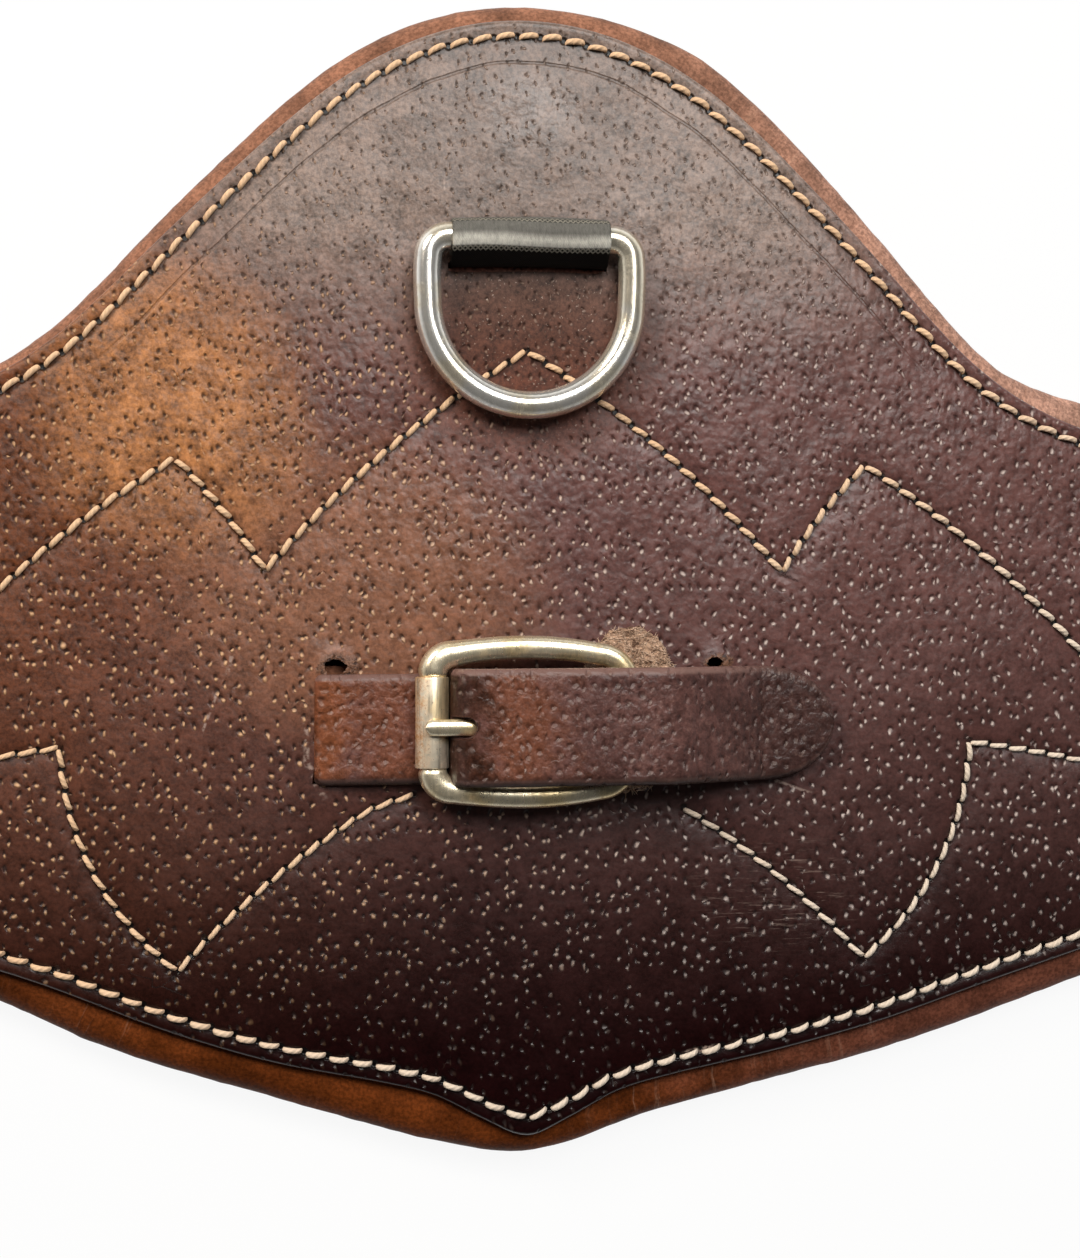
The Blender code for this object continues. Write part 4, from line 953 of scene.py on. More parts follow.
def makeFace():
    f = faceSheet
    end = faceEdge[:, 0].max()
    tips = [end - d * mm for d in f["endRows"] + f["edgeRows"]]
    arms = np.arange(f["guardReach"], end - f["armGap"], f["armStep"]).tolist()
    guard = np.arange(0, f["guardReach"], f["guardStep"])[1:].tolist()
    right = sorted({*guard, *arms, *tips})
    columns = np.array([-x for x in reversed(right)] + [0.0] + right)
    columns[0] += f["endGap"]
    columns[-1] -= f["endGap"]
    border = np.array(f["edgeRows"]) * mm
    rings = []
    for x in columns:
        low, high = reachAcross(faceEdge, x)
        inner = np.linspace(low + border[-1], high - border[-1], f["rows"])[1:-1]
        y = np.concatenate([low + border, inner, high - border[::-1]])
        fromEdge = np.minimum(np.minimum(y - low, high - y), end - abs(x))
        drop = f["edgeDrop"] * np.clip(1 - fromEdge / f["edgeRound"], 0, 1) ** 2
        far = nearSeam(np.stack([np.full_like(y, x), y], axis=1))[2]
        groove = f["groove"] * np.exp(-(far / f["grooveWidth"]) ** 2)
        pillow = f["pillow"] * (1 - np.exp(-(far / f["pillowWidth"]) ** 2))
        pillow *= np.clip(fromEdge / f["pillowEdge"], 0, 1)
        wave = swell(x, y) * np.clip(fromEdge / f["waveEdge"], 0, 1)
        lip = sum(slotLip(x, y, *slot) for slot in slots)
        z = faceTop + (pillow + wave + lip - groove - drop - f["lower"]) * mm
        lowWall, highWall = ([(x, edge, faceLow), (x, edge + out, faceLow + f["wallFoot"]),
                              (x, edge + out, faceTop - f["wallHead"])]
                             for edge, out in ((low, -f["wallOut"]), (high, f["wallOut"])))
        rings.append(lowWall + list(zip(np.full_like(y, x), y, z)) + highWall[::-1])
    rings = np.array(rings)
    piece = addPiece("faceLeather", rings, ringFaces(*rings.shape[:2]), faceFinish, 45)
    for slot in slots:
        cutAway(piece, *slotShape(*slot))
    spots = pointsOf(piece)
    gap, count, _, beside = nearSeam(spots[:, :2])
    edgeTree = treeOf(faceEdge)
    setPointData(piece, "seamGap", np.clip(gap / mm, -20, 20))
    setPointData(piece, "seamPhase", count)
    setPointData(piece, "seamBeside", beside)
    setPointData(piece, "holeRim", np.maximum.reduce([holeRim(spots, *slot) for slot in slots]))
    setPointData(piece, "edgeGap", [edgeTree.find((x, y, 0))[2] / mm for x, y, _ in spots])
    standFor(piece, "girth", "face", "face_leather")


makeFace()
print("face leather made")


# padded lining: leather rolled up round the padding, showing all round the face
# upper and lower: how much wider the used roll shows along each edge, (x, width) in millimetres
liningRoll = {
    "step": 2.0 * mm, "turns": 14, "trim": 0.4 * mm, "fill": 0.8,
    "crease": 0.16, "creaseLength": 3.2 * mm, "sag": 0.30, "sagLength": 38 * mm,
    "upper": ((-112, -1.8), (-84, -1.3), (-50, 0.1), (5, 0.3), (18, 0.9), (36, 2.6), (58, 1.9), (84, 0.7),
              (106, 0.1), (124, 2.2)),
    "lower": ((-112, 1.1), (-92, 2.5), (-56, 1.1), (-21, 1.7), (3, 0.3), (28, -1.0), (46, 0.0), (82, 1.0),
              (100, 2.1)),
    "fades": (128 * mm, 185 * mm), "turnOver": (-0.3, 0.3),
}


def rollWidth(x, side):  # in millimetres, none along the arms
    places, widths = zip(*liningRoll[side])
    return np.interp(x / mm, places, widths) * (1 - ramp(abs(x), *liningRoll["fades"]))


def makeLining():
    r = liningRoll
    low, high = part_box("lining_leather")
    radius = (high.z - low.z) / 2
    floorLine = bent(curveThrough(rims("lining_leather", (0, 0, -1))[0][:, :2], r["step"], closed=True))
    floorLine = np.roll(floorLine, -int(np.argmax(floorLine[:, 0])), axis=0)
    outward = spread(floorLine, 1.0) - floorLine
    run = runAlong(floorLine)
    run = np.minimum(run, run[-1] + r["step"] - run)  # both edges counted from the right end, so they meet
    turns = np.radians(np.linspace(-90, 90, r["turns"] + 1))
    rings, strips = [], []
    for spot, out, s in zip(floorLine, outward, run):
        above = ramp(out[1], *r["turnOver"])
        wide = above * rollWidth(spot[0], "upper") + (1 - above) * rollWidth(spot[0], "lower")
        ring = []
        for turn in turns:
            crease = noise.noise((s / r["creaseLength"], math.degrees(turn) / 70, 0.3)) * r["crease"]
            slump = noise.noise((s / r["sagLength"], 5.0, turn)) * r["sag"]
            puff = radius - r["trim"] + wide * mm + (crease + slump) * mm * max(0.0, math.cos(turn)) ** 0.5
            ring.append((*(spot + out * puff * math.cos(turn)), radius + radius * math.sin(turn)))
            strips.append((s, radius * turn, 0.0))
        rings.append(ring)
    rings = np.array(rings)
    index = np.arange(rings.shape[0] * rings.shape[1]).reshape(rings.shape[:2])
    onward = np.roll(index, -1, axis=0)
    quads = np.stack([index[:, :-1], onward[:, :-1], onward[:, 1:], index[:, 1:]], axis=-1)
    faces = quads.reshape(-1, 4).tolist() + [index[::-1, 0].tolist(), index[:, -1].tolist()]
    piece = addPiece("paddedLining", rings, faces, liningFinish, 60)
    setPointData(piece, "roll", strips)
    standFor(piece, "girth", "lining", "lining_leather", "foam_pad")


makeLining()
print("padded lining made")


# strips of leather, elastic and flat metal, along the middle line of their CAD solids
def middleLine(node, thick, acrossX=False):  # between the two ends, which are as long as thick and square
    loop = rims(node, (-1, 0, 0) if acrossX else (0, -1, 0))[0][:, [1, 2] if acrossX else [0, 2]]
    way = np.roll(loop, -1, axis=0) - loop
    length = np.linalg.norm(way, axis=1)
    angle = np.arctan2(way[:, 1], way[:, 0])
    turn = np.abs((np.roll(angle, -1) - angle + math.pi) % (2 * math.pi) - math.pi) / (math.pi / 2)
    score = np.abs(length / thick - 1) + np.abs(turn - 1) + np.abs(np.roll(turn, 1) - 1)
    first, second = sorted(np.argsort(score)[:2])
    upper = even(loop[first + 1:second + 1], fineStep)
    lower = np.vstack([loop[second + 1:], loop[:first + 1]])
    a, b = lower[:-1], lower[1:]
    middle = []
    for p in upper:
        share = ((p - a) * (b - a)).sum(axis=1) / np.maximum(((b - a) ** 2).sum(axis=1), 1e-18)
        feet = a + (b - a) * np.clip(share, 0, 1)[:, None]
        foot = feet[np.argmin(((feet - p) ** 2).sum(axis=1))]
        middle.append((p + foot) / 2)
    return soften(even(np.array(middle), fineStep), 1.0 * mm, fineStep)


def stripRings(line, thick, widthAt, middle, acrossX=False, edge=0.4, across=9, ripple=None):
    # edge is the rounding as a share of the thickness, and ripple(run) a height in metres added to both faces
    way = tangents(line)
    normal = np.stack([-way[:, 1], way[:, 0]], axis=1)
    rings, strips, edges = [], [], []
    arc = np.radians(np.linspace(90, -90, 7))[1:-1]
    for p, n, s in zip(line, normal, runAlong(line)):
        half = max(widthAt(s) / 2, 0.25 * mm)
        tall = thick / 2 + (ripple(s) if ripple else 0.0)
        lead = min(edge * thick, half * 0.9)
        flat = np.linspace(-half + lead, half - lead, across)
        top = [(c, tall, 0.0) for c in flat]
        rightEdge = [(half - lead + lead * math.cos(a), tall * math.sin(a), 1.0) for a in arc]
        bottom = [(c, -tall, 0.0) for c in flat[::-1]]
        leftEdge = [(-half + lead - lead * math.cos(a), tall * math.sin(a), 1.0) for a in arc[::-1]]
        ring = []
        for c, h, e in top + rightEdge + bottom + leftEdge:
            u, z = p + n * h
            ring.append((middle + c, u, z) if acrossX else (u, middle + c, z))
            strips.append((s, c, h))
            edges.append(e)
        rings.append(ring)
    return np.array(rings), strips, edges


def addStrip(name, node, look, thick, step, acrossX=False, widthAt=None, line=None, **shape):
    low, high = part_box(node)
    width = (high.x - low.x) if acrossX else (high.y - low.y)
    middle = (high.x + low.x) / 2 if acrossX else (high.y + low.y) / 2
    line = even(middleLine(node, thick, acrossX) if line is None else line, step)
    rings, strips, edges = stripRings(line, thick, widthAt or (lambda s: width), middle, acrossX, **shape)
    piece = addPiece(name, rings, ringFaces(*rings.shape[:2]), look, 60)
    setPointData(piece, "strip", strips)
    setPointData(piece, "stripEdge", edges)
    return piece


def ribsOf(height, gap, base):  # cross ribs of an elastic
    return lambda s: height * (abs(math.sin(math.pi * s / gap)) - base)


# ring and its elastic loop
dRing = {"wire": 6 * mm, "corner": 4.5 * mm, "sides": 28, "step": 0.7 * mm}
loopElastic = {
    "solid": 1.6 * mm, "thick": 0.95 * mm, "step": 0.3 * mm, "ribs": (0.04 * mm, 2.5 * mm, 0.7),
    "lean": 2.9 * mm, "leanHeight": (0.5 * mm, 4 * mm), "squeeze": 0.90, "squeezeHeight": 2 * mm,
    "wave": 0.35 * mm, "waveLength": 8 * mm, "waveHeight": (1 * mm, 5 * mm),
    "rows": (2.2 * mm, -4.3 * mm), "paintedSheenBand": (-4.2 * mm, -3.2 * mm), "shaded": (-2.4 * mm, -0.6 * mm),
}
slotEdge = {"past": 0.8 * mm, "thick": 0.7 * mm, "bow": 0.5 * mm, "down": 0.35 * mm, "up": 0.05 * mm,
            "points": 60}


def wireRings(line, radii, sides, square=2.0):  # a closed bent wire; square above 2 flattens its section
    way = tangents(line, closed=True)
    up = np.array((0.0, 0.0, 1.0))
    upward = up - way * (way @ up)[:, None]
    upward /= np.linalg.norm(upward, axis=1, keepdims=True)
    side = np.cross(way, upward)
    turn = np.linspace(0, 2 * math.pi, sides, endpoint=False)
    c, s = (np.sign(v) * np.abs(v) ** (2 / square) for v in (np.cos(turn), np.sin(turn)))
    section = side[:, None, :] * c[None, :, None] + upward[:, None, :] * s[None, :, None]
    return line[:, None, :] + radii[:, None, None] * section


def makeRing():
    low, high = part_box("d_ring")
    wire, bend = dRing["wire"] / 2, dRing["corner"]
    half = (high.x - low.x) / 2 - wire
    barY, endY = high.y - wire, low.y + wire
    barZ, endZ = high.z - wire, low.z + wire
    corner = [(half - bend + bend * math.cos(a), barY - bend + bend * math.sin(a))
              for a in np.linspace(math.pi / 2, 0, 7)]
    bow = [(half * math.cos(a), endY + half + half * math.sin(a)) for a in np.linspace(0, -math.pi, 33)]
    back = [(-x, y) for x, y in reversed(corner)]
    bar = [(x, barY) for x in np.linspace(back[-1][0], corner[0][0], 10)[1:-1]]
    flat = curveThrough([*corner, *bow, *back, *bar], dRing["step"], closed=True)
    height = endZ + (barZ - endZ) * (flat[:, 1] - endY) / (barY - endY)
    rings = wireRings(np.column_stack([flat, height]), np.full(len(flat), wire), dRing["sides"])
    piece = addPiece("dRing", rings, ringFaces(*rings.shape[:2], closed=True), ringSteel, 80)
    standFor(piece, "ring", "steel", "d_ring")


def makeLoop():
    e = loopElastic
    line = middleLine("d_ring_elastic", e["solid"], acrossX=True)
    run, top = runAlong(line), np.argmax(line[:, 1])
    apex = run[top]
    outward = 1 if line[np.searchsorted(run, apex + 3 * mm)][0] > line[top][0] else -1
    line[:, 0] += e["lean"] * (1 - ramp(line[:, 1] - faceTop, *e["leanHeight"]))
    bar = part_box("d_ring")[1].y - dRing["wire"] / 2
    squeeze = 1 - (1 - e["squeeze"]) * ramp(line[:, 1] - faceTop, 0, e["squeezeHeight"])
    line[:, 0] = bar + (line[:, 0] - bar) * squeeze
    rows = [apex + outward * reach for reach in e["rows"]]

    def fromRow(s):
        return (s - rows[0]).abs().least((s - rows[1]).abs())

    def paintedSheenBand(s):
        # the grey band over the bar: painted sheen, painted darker towards its top edge as shade
        past = (s - apex) * outward
        return past.step(*e["paintedSheenBand"]) * (0.22 + 0.78 * past.fade(*e["shaded"]))
    look = elasticLook("ringElastic", fromRow, paintedSheenBand)
    piece = addStrip("ringLoop", "d_ring_elastic", look, e["thick"], e["step"], acrossX=True, line=line,
                     edge=0.45, across=25, ripple=ribsOf(*e["ribs"]))
    for vertex in piece.data.vertices:
        share = ramp(vertex.co.z - faceTop, *e["waveHeight"])
        vertex.co.y += e["wave"] * share * math.sin(vertex.co.x / e["waveLength"] + 1.2)
    standFor(piece, "girth", "elastic", "d_ring_elastic")


def makeSlotEdge():  # cut edge of the face, below the loop
    e = slotEdge
    low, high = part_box("d_ring_elastic")
    reach = (high.x - low.x) / 2 + e["past"]
    x = np.linspace(-reach, reach, e["points"])
    slotFoot = [slot[0][1] for slot in slots if isLoopSlot(*slot)][0] + faceSheet["loopRaise"]
    y = slotFoot + e["bow"] * np.cos(x / reach * 1.4) - e["down"]
    line = np.column_stack([x, y, np.full_like(x, faceTop + e["up"])])
    turn = np.linspace(0, 2 * math.pi, 10, endpoint=False)
    thick = e["thick"] * np.sqrt(np.clip(1.02 - (x / reach) ** 8, 0.02, 1))
    ring = np.stack([np.zeros_like(turn), np.cos(turn), np.sin(turn)], axis=1)
    rings = line[:, None, :] + thick[:, None, None] * ring[None, :, :]
    piece = addPiece("loopSlotEdge", rings, ringFaces(*rings.shape[:2]), cutEdgeFinish, 80)
    standFor(piece, "girth", "face")


makeRing()
makeLoop()
makeSlotEdge()
print("ring and loop made")


# keeper strap with its chape, safe and roller buckle
# worn: middle of the worn run from the roller, half its length, share
keeper = {
    "strapThick": 2.5 * mm, "chapeThick": 1.6 * mm, "step": 0.8 * mm, "tipLength": 17 * mm, "tipRound": 2.2,
    "holeHalf": 2.2 * mm, "holeReach": 5.6 * mm, "holeFloor": 2.2 * mm, "lift": 0.9 * mm,
    "rollerHalf": 9.75 * mm, "upperRun": 18 * mm, "tilt": 0.006, "tuck": 1.2 * mm,
    "tuckFrom": (-3 * mm, -0.5 * mm),
    "paintedShadeBand": (-12.6 * mm, -9.2 * mm), "foldPast": 6 * mm, "darkTip": 32 * mm, "relief": 0.55,
    "worn": ((20 * mm, 16 * mm, 0.6), (-27 * mm, 10 * mm, 0.95), (-14 * mm, 16 * mm, 0.6)),
    "window": (-9 * mm, 5.2 * mm), "windowFloor": 1.9 * mm,
}


def makeKeeperStrap():
    k = keeper
    low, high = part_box("keeper_strap")
    line = middleLine("keeper_strap", k["strapThick"])
    if line[0][0] > line[-1][0]:
        line = line[::-1]
    if line[-1][0] < high.x - 0.5 * mm:
        line = np.vstack([line, [high.x, line[-1][1]]])
    line = even(line, k["step"])
    total, width = lineLength(line), high.y - low.y

    def taper(s):
        past = max(0.0, s - (total - k["tipLength"])) / k["tipLength"]
        return width * math.sqrt(max(0.0, 1 - past ** k["tipRound"]))
    rollerLow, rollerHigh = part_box("keeper_buckle_roller")
    onLowerRun = line[:, 1] < k["upperRun"]
    rollerRun = runAlong(line)[np.argmin(np.abs(line[:, 0] - rollerHigh.x) + 10 * onLowerRun)]
    wornRuns = [(rollerRun + shift, half, share) for shift, half, share in k["worn"]]
    fold, darkFrom = rollerRun + k["foldPast"], total - k["darkTip"]
    look = strapLook("keeperStrapLeather", wornRuns, fold, darkFrom, k["paintedShadeBand"], k["relief"])
    piece = addStrip("keeperStrap", "keeper_strap", look, k["strapThick"], k["step"], widthAt=taper,
                     line=line, edge=0.75, across=17)
    for vertex in piece.data.vertices:
        under = ramp(rollerLow.x - vertex.co.x, *k["tuckFrom"])
        under *= ramp(vertex.co.y, (low.y + high.y) / 2, high.y)
        vertex.co.y += k["tilt"] * vertex.co.x - k["tuck"] * under
    tongueLow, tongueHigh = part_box("keeper_buckle_tongue")
    midY, half = (tongueLow.y + tongueHigh.y) / 2, k["holeHalf"]
    holeX = rollerHigh.x + k["holeReach"] - half
    outline = [(holeX + half * math.cos(a), midY + half * math.sin(a))
               for a in np.linspace(-math.pi / 2, math.pi / 2, 12)]
    outline += [(rollerLow.x, midY + half), (rollerLow.x, midY - half)]
    base = (rollerLow.z + rollerHigh.z) / 2 + k["holeFloor"]
    cutAway(piece, *upright(outline, base, tongueHigh.z + 9 * mm))
    standFor(piece, "girth", "strap", "keeper_strap")


safeSheet = {"spread": (1.16, 1.02), "shift": (1.0 * mm, 0.2 * mm), "lower": 0.70, "ragged": 1.3 * mm,
             "tear": 4.3 * mm, "fray": 1.1 * mm, "lump": 1.4 * mm, "lumpHeight": 0.35 * mm,
             "below": 0.15 * mm, "edgeDown": 0.5 * mm, "fibres": 2600, "seed": 11,
             "fibreLength": (0.6, 2.0), "fibreRoot": 0.25 * mm, "fibreTall": 0.07 * mm}


def makeSafe():
    s = safeSheet
    edge = curveThrough(rims("buckle_safe", (0, 0, 1))[0][:, :2], 0.5 * mm, closed=True)
    low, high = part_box("buckle_safe")
    centre = edge.mean(axis=0)
    edge = centre + (edge - centre) * s["spread"] + s["shift"]
    below = edge[:, 1] < centre[1]
    edge[:, 1] = np.where(below, centre[1] + (edge[:, 1] - centre[1]) * s["lower"], edge[:, 1])
    centre = edge.mean(axis=0)
    rings = []
    for share in (*np.linspace(0.06, 0.9, 16), 0.96, 1.0):
        ring = []
        for spot in edge:
            torn = noise.noise((*(spot / s["tear"]), 2.0)) * s["ragged"] * share ** 4
            torn += noise.noise((*(spot / s["fray"]), 5.0)) * 0.4 * s["ragged"] * share ** 6
            x, y = centre + (spot - centre) * (share + torn / np.linalg.norm(spot - centre))
            lump = noise.noise((x / s["lump"], y / s["lump"], 7.0)) * s["lumpHeight"]
            lump *= min(1, (1 - share) * 12)
            ring.append((x, y, high.z - s["below"] + lump - (s["edgeDown"] if share == 1.0 else 0)))
        rings.append(ring)
    rings = np.array(rings + [[(x, y, low.z) for x, y, _ in rings[-1]]])
    piece = addPiece("buckleSafe", rings, ringFaces(*rings.shape[:2]), suedeFinish, 70)
    standFor(piece, "girth", "suede", "buckle_safe")
    draw = random.Random(s["seed"])
    points, faces = [], []
    for _ in range(s["fibres"]):  # loose fibres standing off the flesh side
        angle, share = draw.uniform(0, 2 * math.pi), math.sqrt(draw.uniform(0.3, 1.0))
        spot = edge[int(angle / (2 * math.pi) * len(edge)) % len(edge)]
        lean = draw.gauss(-0.35, 0.9) + draw.choice((0, math.pi))
        length = draw.uniform(*s["fibreLength"]) * mm
        way = np.array([math.cos(lean), math.sin(lean), draw.uniform(0.02, 0.25)]) * length
        side = np.array([-math.sin(lean), math.cos(lean), 0]) * draw.uniform(0.06, 0.13) * mm
        root = np.array([*(centre + (spot - centre) * share), high.z - s["fibreRoot"]])
        bend = np.array([0, 0, 0.12 * length])
        first = len(points)
        for middle, thick in ((root, 1.0), (root + way * 0.5 + bend, 0.8), (root + way, 0.25)):
            tall = np.array([0, 0, s["fibreTall"] * thick])
            points += [middle + side * thick, middle - side * thick, middle + tall]
        faces += [[first + c for c in face] for face in ringFaces(3, 3)]
    standFor(addPiece("safeFibres", points, faces, fibreFinish, 180), "girth", "suede")


# rim: from the bore to the outside, how far in from the radius and back from the end
rollerShape = {"rim": ((0.7 * mm, 0), (0.35 * mm, 0), (0.08 * mm, 0.12 * mm), (0, 0.45 * mm)),
               "waist": 0.985, "sides": 40}


def makeRoller(name, node, body, look, half=None, lift=0.0, stout=1.0):
    low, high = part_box(node)
    centreX, midY, centreZ = (low.x + high.x) / 2, (low.y + high.y) / 2 + lift, (low.z + high.z) / 2
    radius, half = (high.z - low.z) / 2 * stout, half or (high.y - low.y) / 2
    rim = [(radius - inward, half - back) for inward, back in rollerShape["rim"]]
    profile = [(r, -y) for r, y in rim] + [(radius * rollerShape["waist"], 0)] + rim[::-1]
    turn = np.linspace(0, 2 * math.pi, rollerShape["sides"], endpoint=False)
    rings = np.array([[(centreX + r * math.cos(a), midY + y, centreZ + r * math.sin(a)) for r, y in profile]
                      for a in turn])
    piece = addPiece(name, rings, ringFaces(*rings.shape[:2], closed=True), look, 35)
    standFor(piece, body, "steel", node)


frameShape = {"step": 0.7 * mm, "barStep": 2.5 * mm, "sides": 20, "square": 2.5, "shoulder": 6 * mm,
              "shoulderIn": 0.6 * mm, "heelFrom": 25 * mm, "heelOver": 12 * mm, "heelSlim": 0.08,
              "straight": (-1.5 * mm, 0.5 * mm)}


def makeFrame(name, node, roller, body, look, bulge, stout=1.0, narrow=1.0, lift=0.0, bowed=False):
    # forged: thicker beside the roller, and bowed where its bars have been pulled
    f = frameShape
    corners = ridge(node)[0][:, :2]
    low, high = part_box(node)
    if not bowed:
        corners = even(np.vstack([corners, corners[:1]]), f["barStep"])[:-1]
    flat = curveThrough(corners, f["step"], closed=True)
    rollerLow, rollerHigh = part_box(roller)
    rollerX, midY = (rollerLow.x + rollerHigh.x) / 2, (low.y + high.y) / 2
    away = np.abs(flat[:, 0] - rollerX)
    beside = np.abs(flat[:, 1] - midY) - (rollerHigh.y - rollerLow.y) / 2
    shoulder = np.exp(-(away / f["shoulder"]) ** 2) * np.clip(beside / f["shoulderIn"], 0, 1)
    heel = np.clip((away - f["heelFrom"]) / f["heelOver"], 0, 1)
    radii = (high.z - low.z) / 2 * (1 + bulge * shoulder - f["heelSlim"] * heel)
    inRoller = (away < f["shoulder"]) * (1 - ramp(beside, *f["straight"]))  # straight inside its roller
    flat[:, 0] += (rollerX - flat[:, 0]) * inRoller
    flat[:, 1] = midY + lift + (flat[:, 1] - midY) * narrow
    line = np.column_stack([flat, np.full(len(flat), (low.z + high.z) / 2)])
    rings = wireRings(line, radii * stout, f["sides"], f["square"])
    piece = addPiece(name, rings, ringFaces(*rings.shape[:2], closed=True), look, 80)
    standFor(piece, body, "steel", node)


tongueShape = {"solid": 0.9 * mm, "thick": 1.8 * mm, "step": 0.5 * mm, "tip": 1.7 * mm, "taper": 0.06,
               "room": 0.8 * mm}


def makeTongue(name, node, body, look, slim=1.0):
    low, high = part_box(node)
    line = middleLine(node, tongueShape["solid"])
    if abs(line[0][1] - low.z) > abs(line[-1][1] - low.z):  # from its bar to its tip
        line = line[::-1]
    total, width, tipLength = lineLength(line), (high.y - low.y) * slim, tongueShape["tip"]

    def taper(s):
        tip = max(0.0, s - (total - tipLength)) / tipLength
        return width * (1 - tongueShape["taper"] * s / total) * math.sqrt(max(0.02, 1 - 0.95 * tip ** 2))
    piece = addStrip(name, node, look, tongueShape["thick"], tongueShape["step"], widthAt=taper, line=line,
                     edge=1.0, across=5)
    standFor(piece, body, "steel", node)


def tongueWindow(piece, tongueNode, fromX, toX, base=None):  # slot in a chape for the tongue
    low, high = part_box(tongueNode)
    (a, b), room = sorted((fromX, toX)), tongueShape["room"]
    outline = [(a, low.y - room), (b, low.y - room), (b, high.y + room), (a, high.y + room)]
    cutAway(piece, *upright(outline, base or low.z - 5 * mm, high.z + 3 * mm))


def makeKeeperChape():
    k = keeper
    piece = addStrip("keeperChape", "buckle_chape", chapeFinish, k["chapeThick"], 0.6 * mm)
    low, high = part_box("keeper_buckle_frame")
    heelX = high.x - (high.z - low.z) / 2
    fromX, toX = (heelX + reach for reach in k["window"])
    tongueWindow(piece, "keeper_buckle_tongue", fromX, toX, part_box("face_leather")[1].z + k["windowFloor"])
    standFor(piece, "girth", "strap", "buckle_chape")


makeKeeperStrap()
makeKeeperChape()
makeSafe()
makeFrame("keeperFrame", "keeper_buckle_frame", "keeper_buckle_roller", "girth", buckleSteel,
          bulge=0.22, stout=1.06, narrow=0.95, lift=keeper["lift"], bowed=True)
makeRoller("keeperRoller", "keeper_buckle_roller", "keeper_roller", rollerSteel,
           keeper["rollerHalf"], keeper["lift"], stout=1.07)
makeTongue("keeperTongue", "keeper_buckle_tongue", "girth", buckleSteel, slim=0.84)
print("keeper strap and buckle made")


# both ends: elastic straps, leather chapes and roller buckles
ends = {"elasticThick": 2.4 * mm, "chapeThick": 1.8 * mm, "ribs": (0.10 * mm, 3.0 * mm, 0.6),
        "rowGap": 6 * mm, "rootInside": 4 * mm, "window": (-8.9 * mm, 8 * mm), "bulge": 0.06}


def fromEndRow(run):  # evenly spaced rows of zigzag thread
    return ((run / ends["rowGap"]).fract() - 0.5).abs() * ends["rowGap"]


endElastic = elasticLook("girthElastic", fromEndRow)


def makeEnd(side, row):
    tag, label = f"{side}_{row}", side.title() + row.title()
    body, way = f"end_{tag}", 1 if side == "right" else -1
    elastic = addStrip(f"elastic{label}", f"elastic_{tag}", endElastic, ends["elasticThick"], 0.6 * mm,
                       edge=0.45, across=15, ripple=ribsOf(*ends["ribs"]))
    chapeStart = min(abs(corner.x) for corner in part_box(f"chape_{tag}"))
    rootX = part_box("lining_leather")[1].x - ends["rootInside"]
    way * rootX
    way * chapeStart
    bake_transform(elastic)
    standFor(elastic, None, "elastic", f"elastic_{tag}")
    chape = addStrip(f"chape{label}", f"chape_{tag}", chapeFinish, ends["chapeThick"], 0.7 * mm)
    low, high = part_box(f"buckle_frame_{tag}")
    barX = min(abs(low.x), abs(high.x)) + (high.z - low.z) / 2
    fromX, toX = (way * (barX + reach) for reach in ends["window"])
    tongueWindow(chape, f"buckle_tongue_{tag}", fromX, toX)
    standFor(chape, body, "strap", f"chape_{tag}")
    makeFrame(f"frame{label}", f"buckle_frame_{tag}", f"buckle_roller_{tag}", f"frame_{tag}", ringSteel,
              ends["bulge"])
    makeRoller(f"roller{label}", f"buckle_roller_{tag}", f"roller_{tag}", ringSteel)
    makeTongue(f"tongue{label}", f"buckle_tongue_{tag}", f"tongue_{tag}", ringSteel)


for side, row in endTags:
    makeEnd(side, row)
insides = {"core_webbing": ((0.03, 0.03, 0.03), 0.8 * mm), "interlining": ((0.30, 0.20, 0.12), 2 * mm)}
for node, (colour, lump) in insides.items():
    cadNodes[node].data.materials.clear()
    cadNodes[node].data.materials.append(hiddenLook(node + "Finish", colour, lump))
print("ends made")


# floor, light and camera
studio = {"floorSize": 12.0, "floorDown": 0.2 * mm, "floorColour": (0.86, 0.86, 0.86), "whiteShare": 0.92,
          "backdrop": 0.93, "zenith": 0.03, "horizon": 0.8, "front": 0.4, "darkAbove": 0.62,
          "brightBelow": 0.12}
lamps = {
    "overhead": {"place": (0.17, 0.545, 1.02), "size": (0.62, 0.50), "watts": 10.5,
                 "colour": (1.0, 0.99, 0.97)},
    "window": {"place": (-0.62, 0.62, 0.66), "size": (0.3, 0.3), "watts": 7.4, "colour": (1.0, 0.90, 0.78)},
}
shot = {"distance": 450 * mm, "yaw": 7.17, "centre": (2.75 * mm, 11.1 * mm, 15 * mm),
        "frameHeight": 273.5 * mm, "sensor": 36.0, "clip": (0.01, 50)}


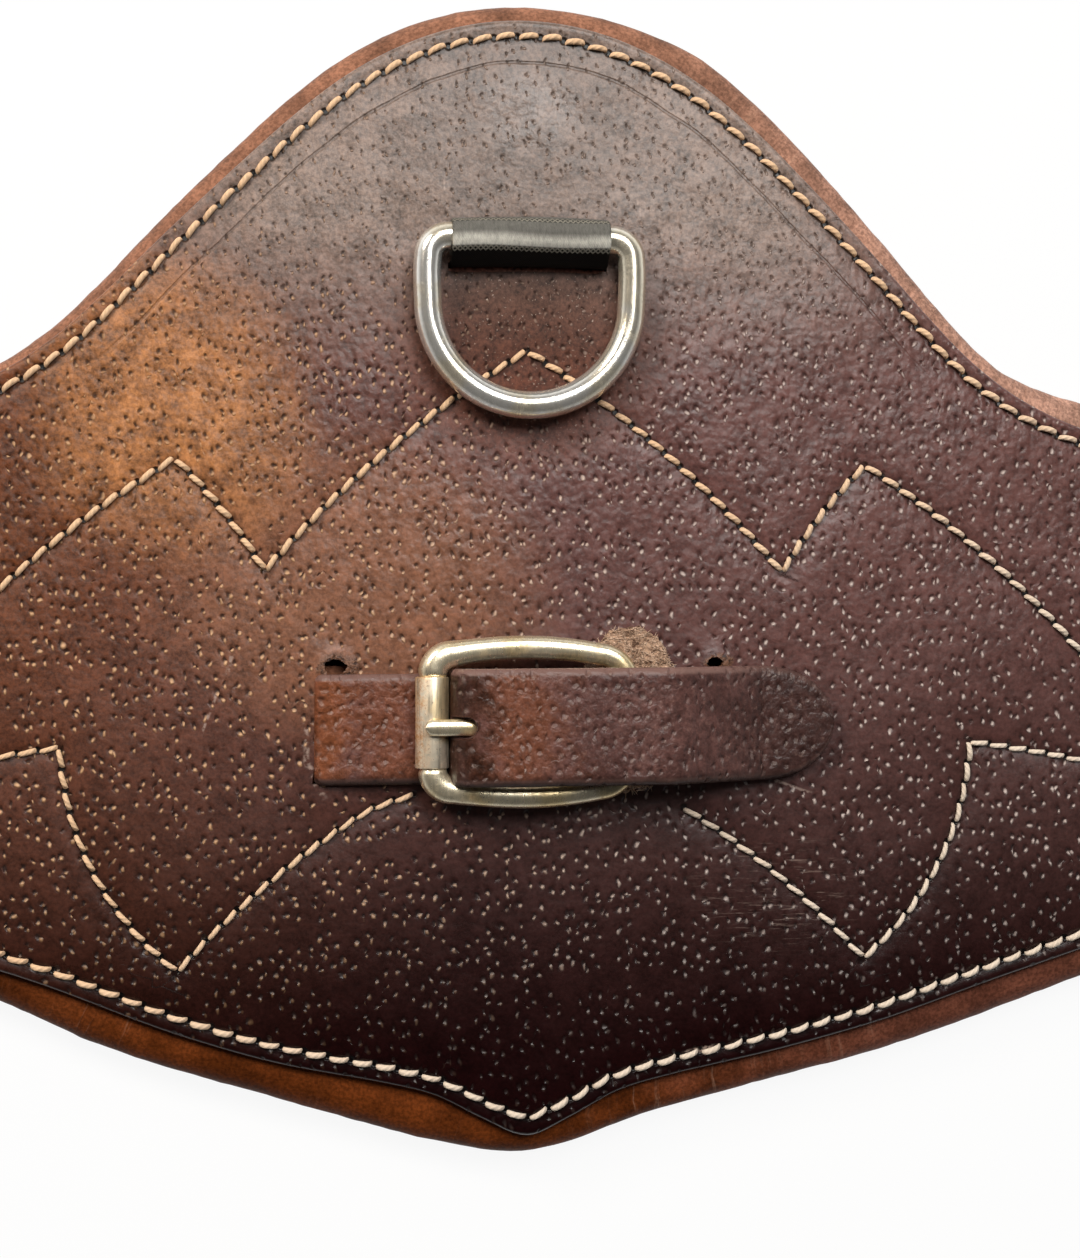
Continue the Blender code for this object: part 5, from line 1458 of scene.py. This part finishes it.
def makeStage():
    half, z = studio["floorSize"] / 2, -studio["floorDown"]
    mesh = bpy.data.meshes.new("floor")
    corners = [(-half, -half, z), (half, -half, z), (half, half, z), (-half, half, z)]
    mesh.from_pydata(corners, [], [(0, 1, 2, 3)])
    addObject("floor", mesh)
    look = Look("paleFloor", Base_Color=(*studio["floorColour"], 1.0), Roughness=0.9)
    camera, glossy = (look.node("ShaderNodeLightPath", output=f"Is {ray} Ray")
                      for ray in ("Camera", "Glossy"))
    white = look.node("ShaderNodeEmission", None, {"Color": (1, 1, 1, 1), "Strength": 1.0})
    plain = Wire(look, look.shader.outputs[0])
    mixed = look.node("ShaderNodeMixShader", None, [camera.top(glossy) * studio["whiteShare"], plain, white])
    look.tree.links.new(mixed.socket, look.tree.nodes["Material Output"].inputs["Surface"])
    mesh.materials.append(look.material)


def makeLight():  # white to the camera, dark overhead and bright round the horizon to everything else
    world = bpy.data.worlds.new("studio")
    world.use_nodes = True
    bpy.context.scene.world = world
    sky = Sky(world)
    way = sky.node("ShaderNodeTexCoord", output="Generated")
    low = sky.axis(way, "Z").abs().fade(studio["brightBelow"], studio["darkAbove"])
    behind = studio["front"] + (1 - studio["front"]) * sky.axis(way, "Y").step(-0.5, 0.5)
    level = studio["zenith"] + studio["horizon"] * low * behind
    level = level.top(sky.node("ShaderNodeLightPath", output="Is Camera Ray") * studio["backdrop"])
    background = sky.tree.nodes["Background"]
    sky.tree.links.new(level.socket, background.inputs["Strength"])
    background.inputs["Color"].default_value = (1, 1, 1, 1)
    for name, lamp in lamps.items():
        data = bpy.data.lights.new(name, "AREA")
        data.shape, (data.size, data.size_y) = "RECTANGLE", lamp["size"]
        data.energy, data.color = lamp["watts"], lamp["colour"]
        made = addObject(name, data)
        made.location = lamp["place"]
        made.rotation_euler = (Vector(shot["centre"]) - made.location).to_track_quat("-Z", "Y").to_euler()


def makeCamera():
    data = bpy.data.cameras.new("camera")
    data.sensor_width = shot["sensor"]
    data.lens = shot["sensor"] * shot["distance"] / shot["frameHeight"]
    data.clip_start, data.clip_end = shot["clip"]
    camera = addObject("camera", data)
    yaw = math.radians(shot["yaw"])
    camera.location = Vector(shot["centre"]) + shot["distance"] * Vector((-math.sin(yaw), 0, math.cos(yaw)))
    camera.rotation_euler = (0, -yaw, 0)
    bpy.context.scene.camera = camera


makeStage()
makeLight()
makeCamera()
bpy.context.scene.view_settings.view_transform = "Standard"
print("scene ready")
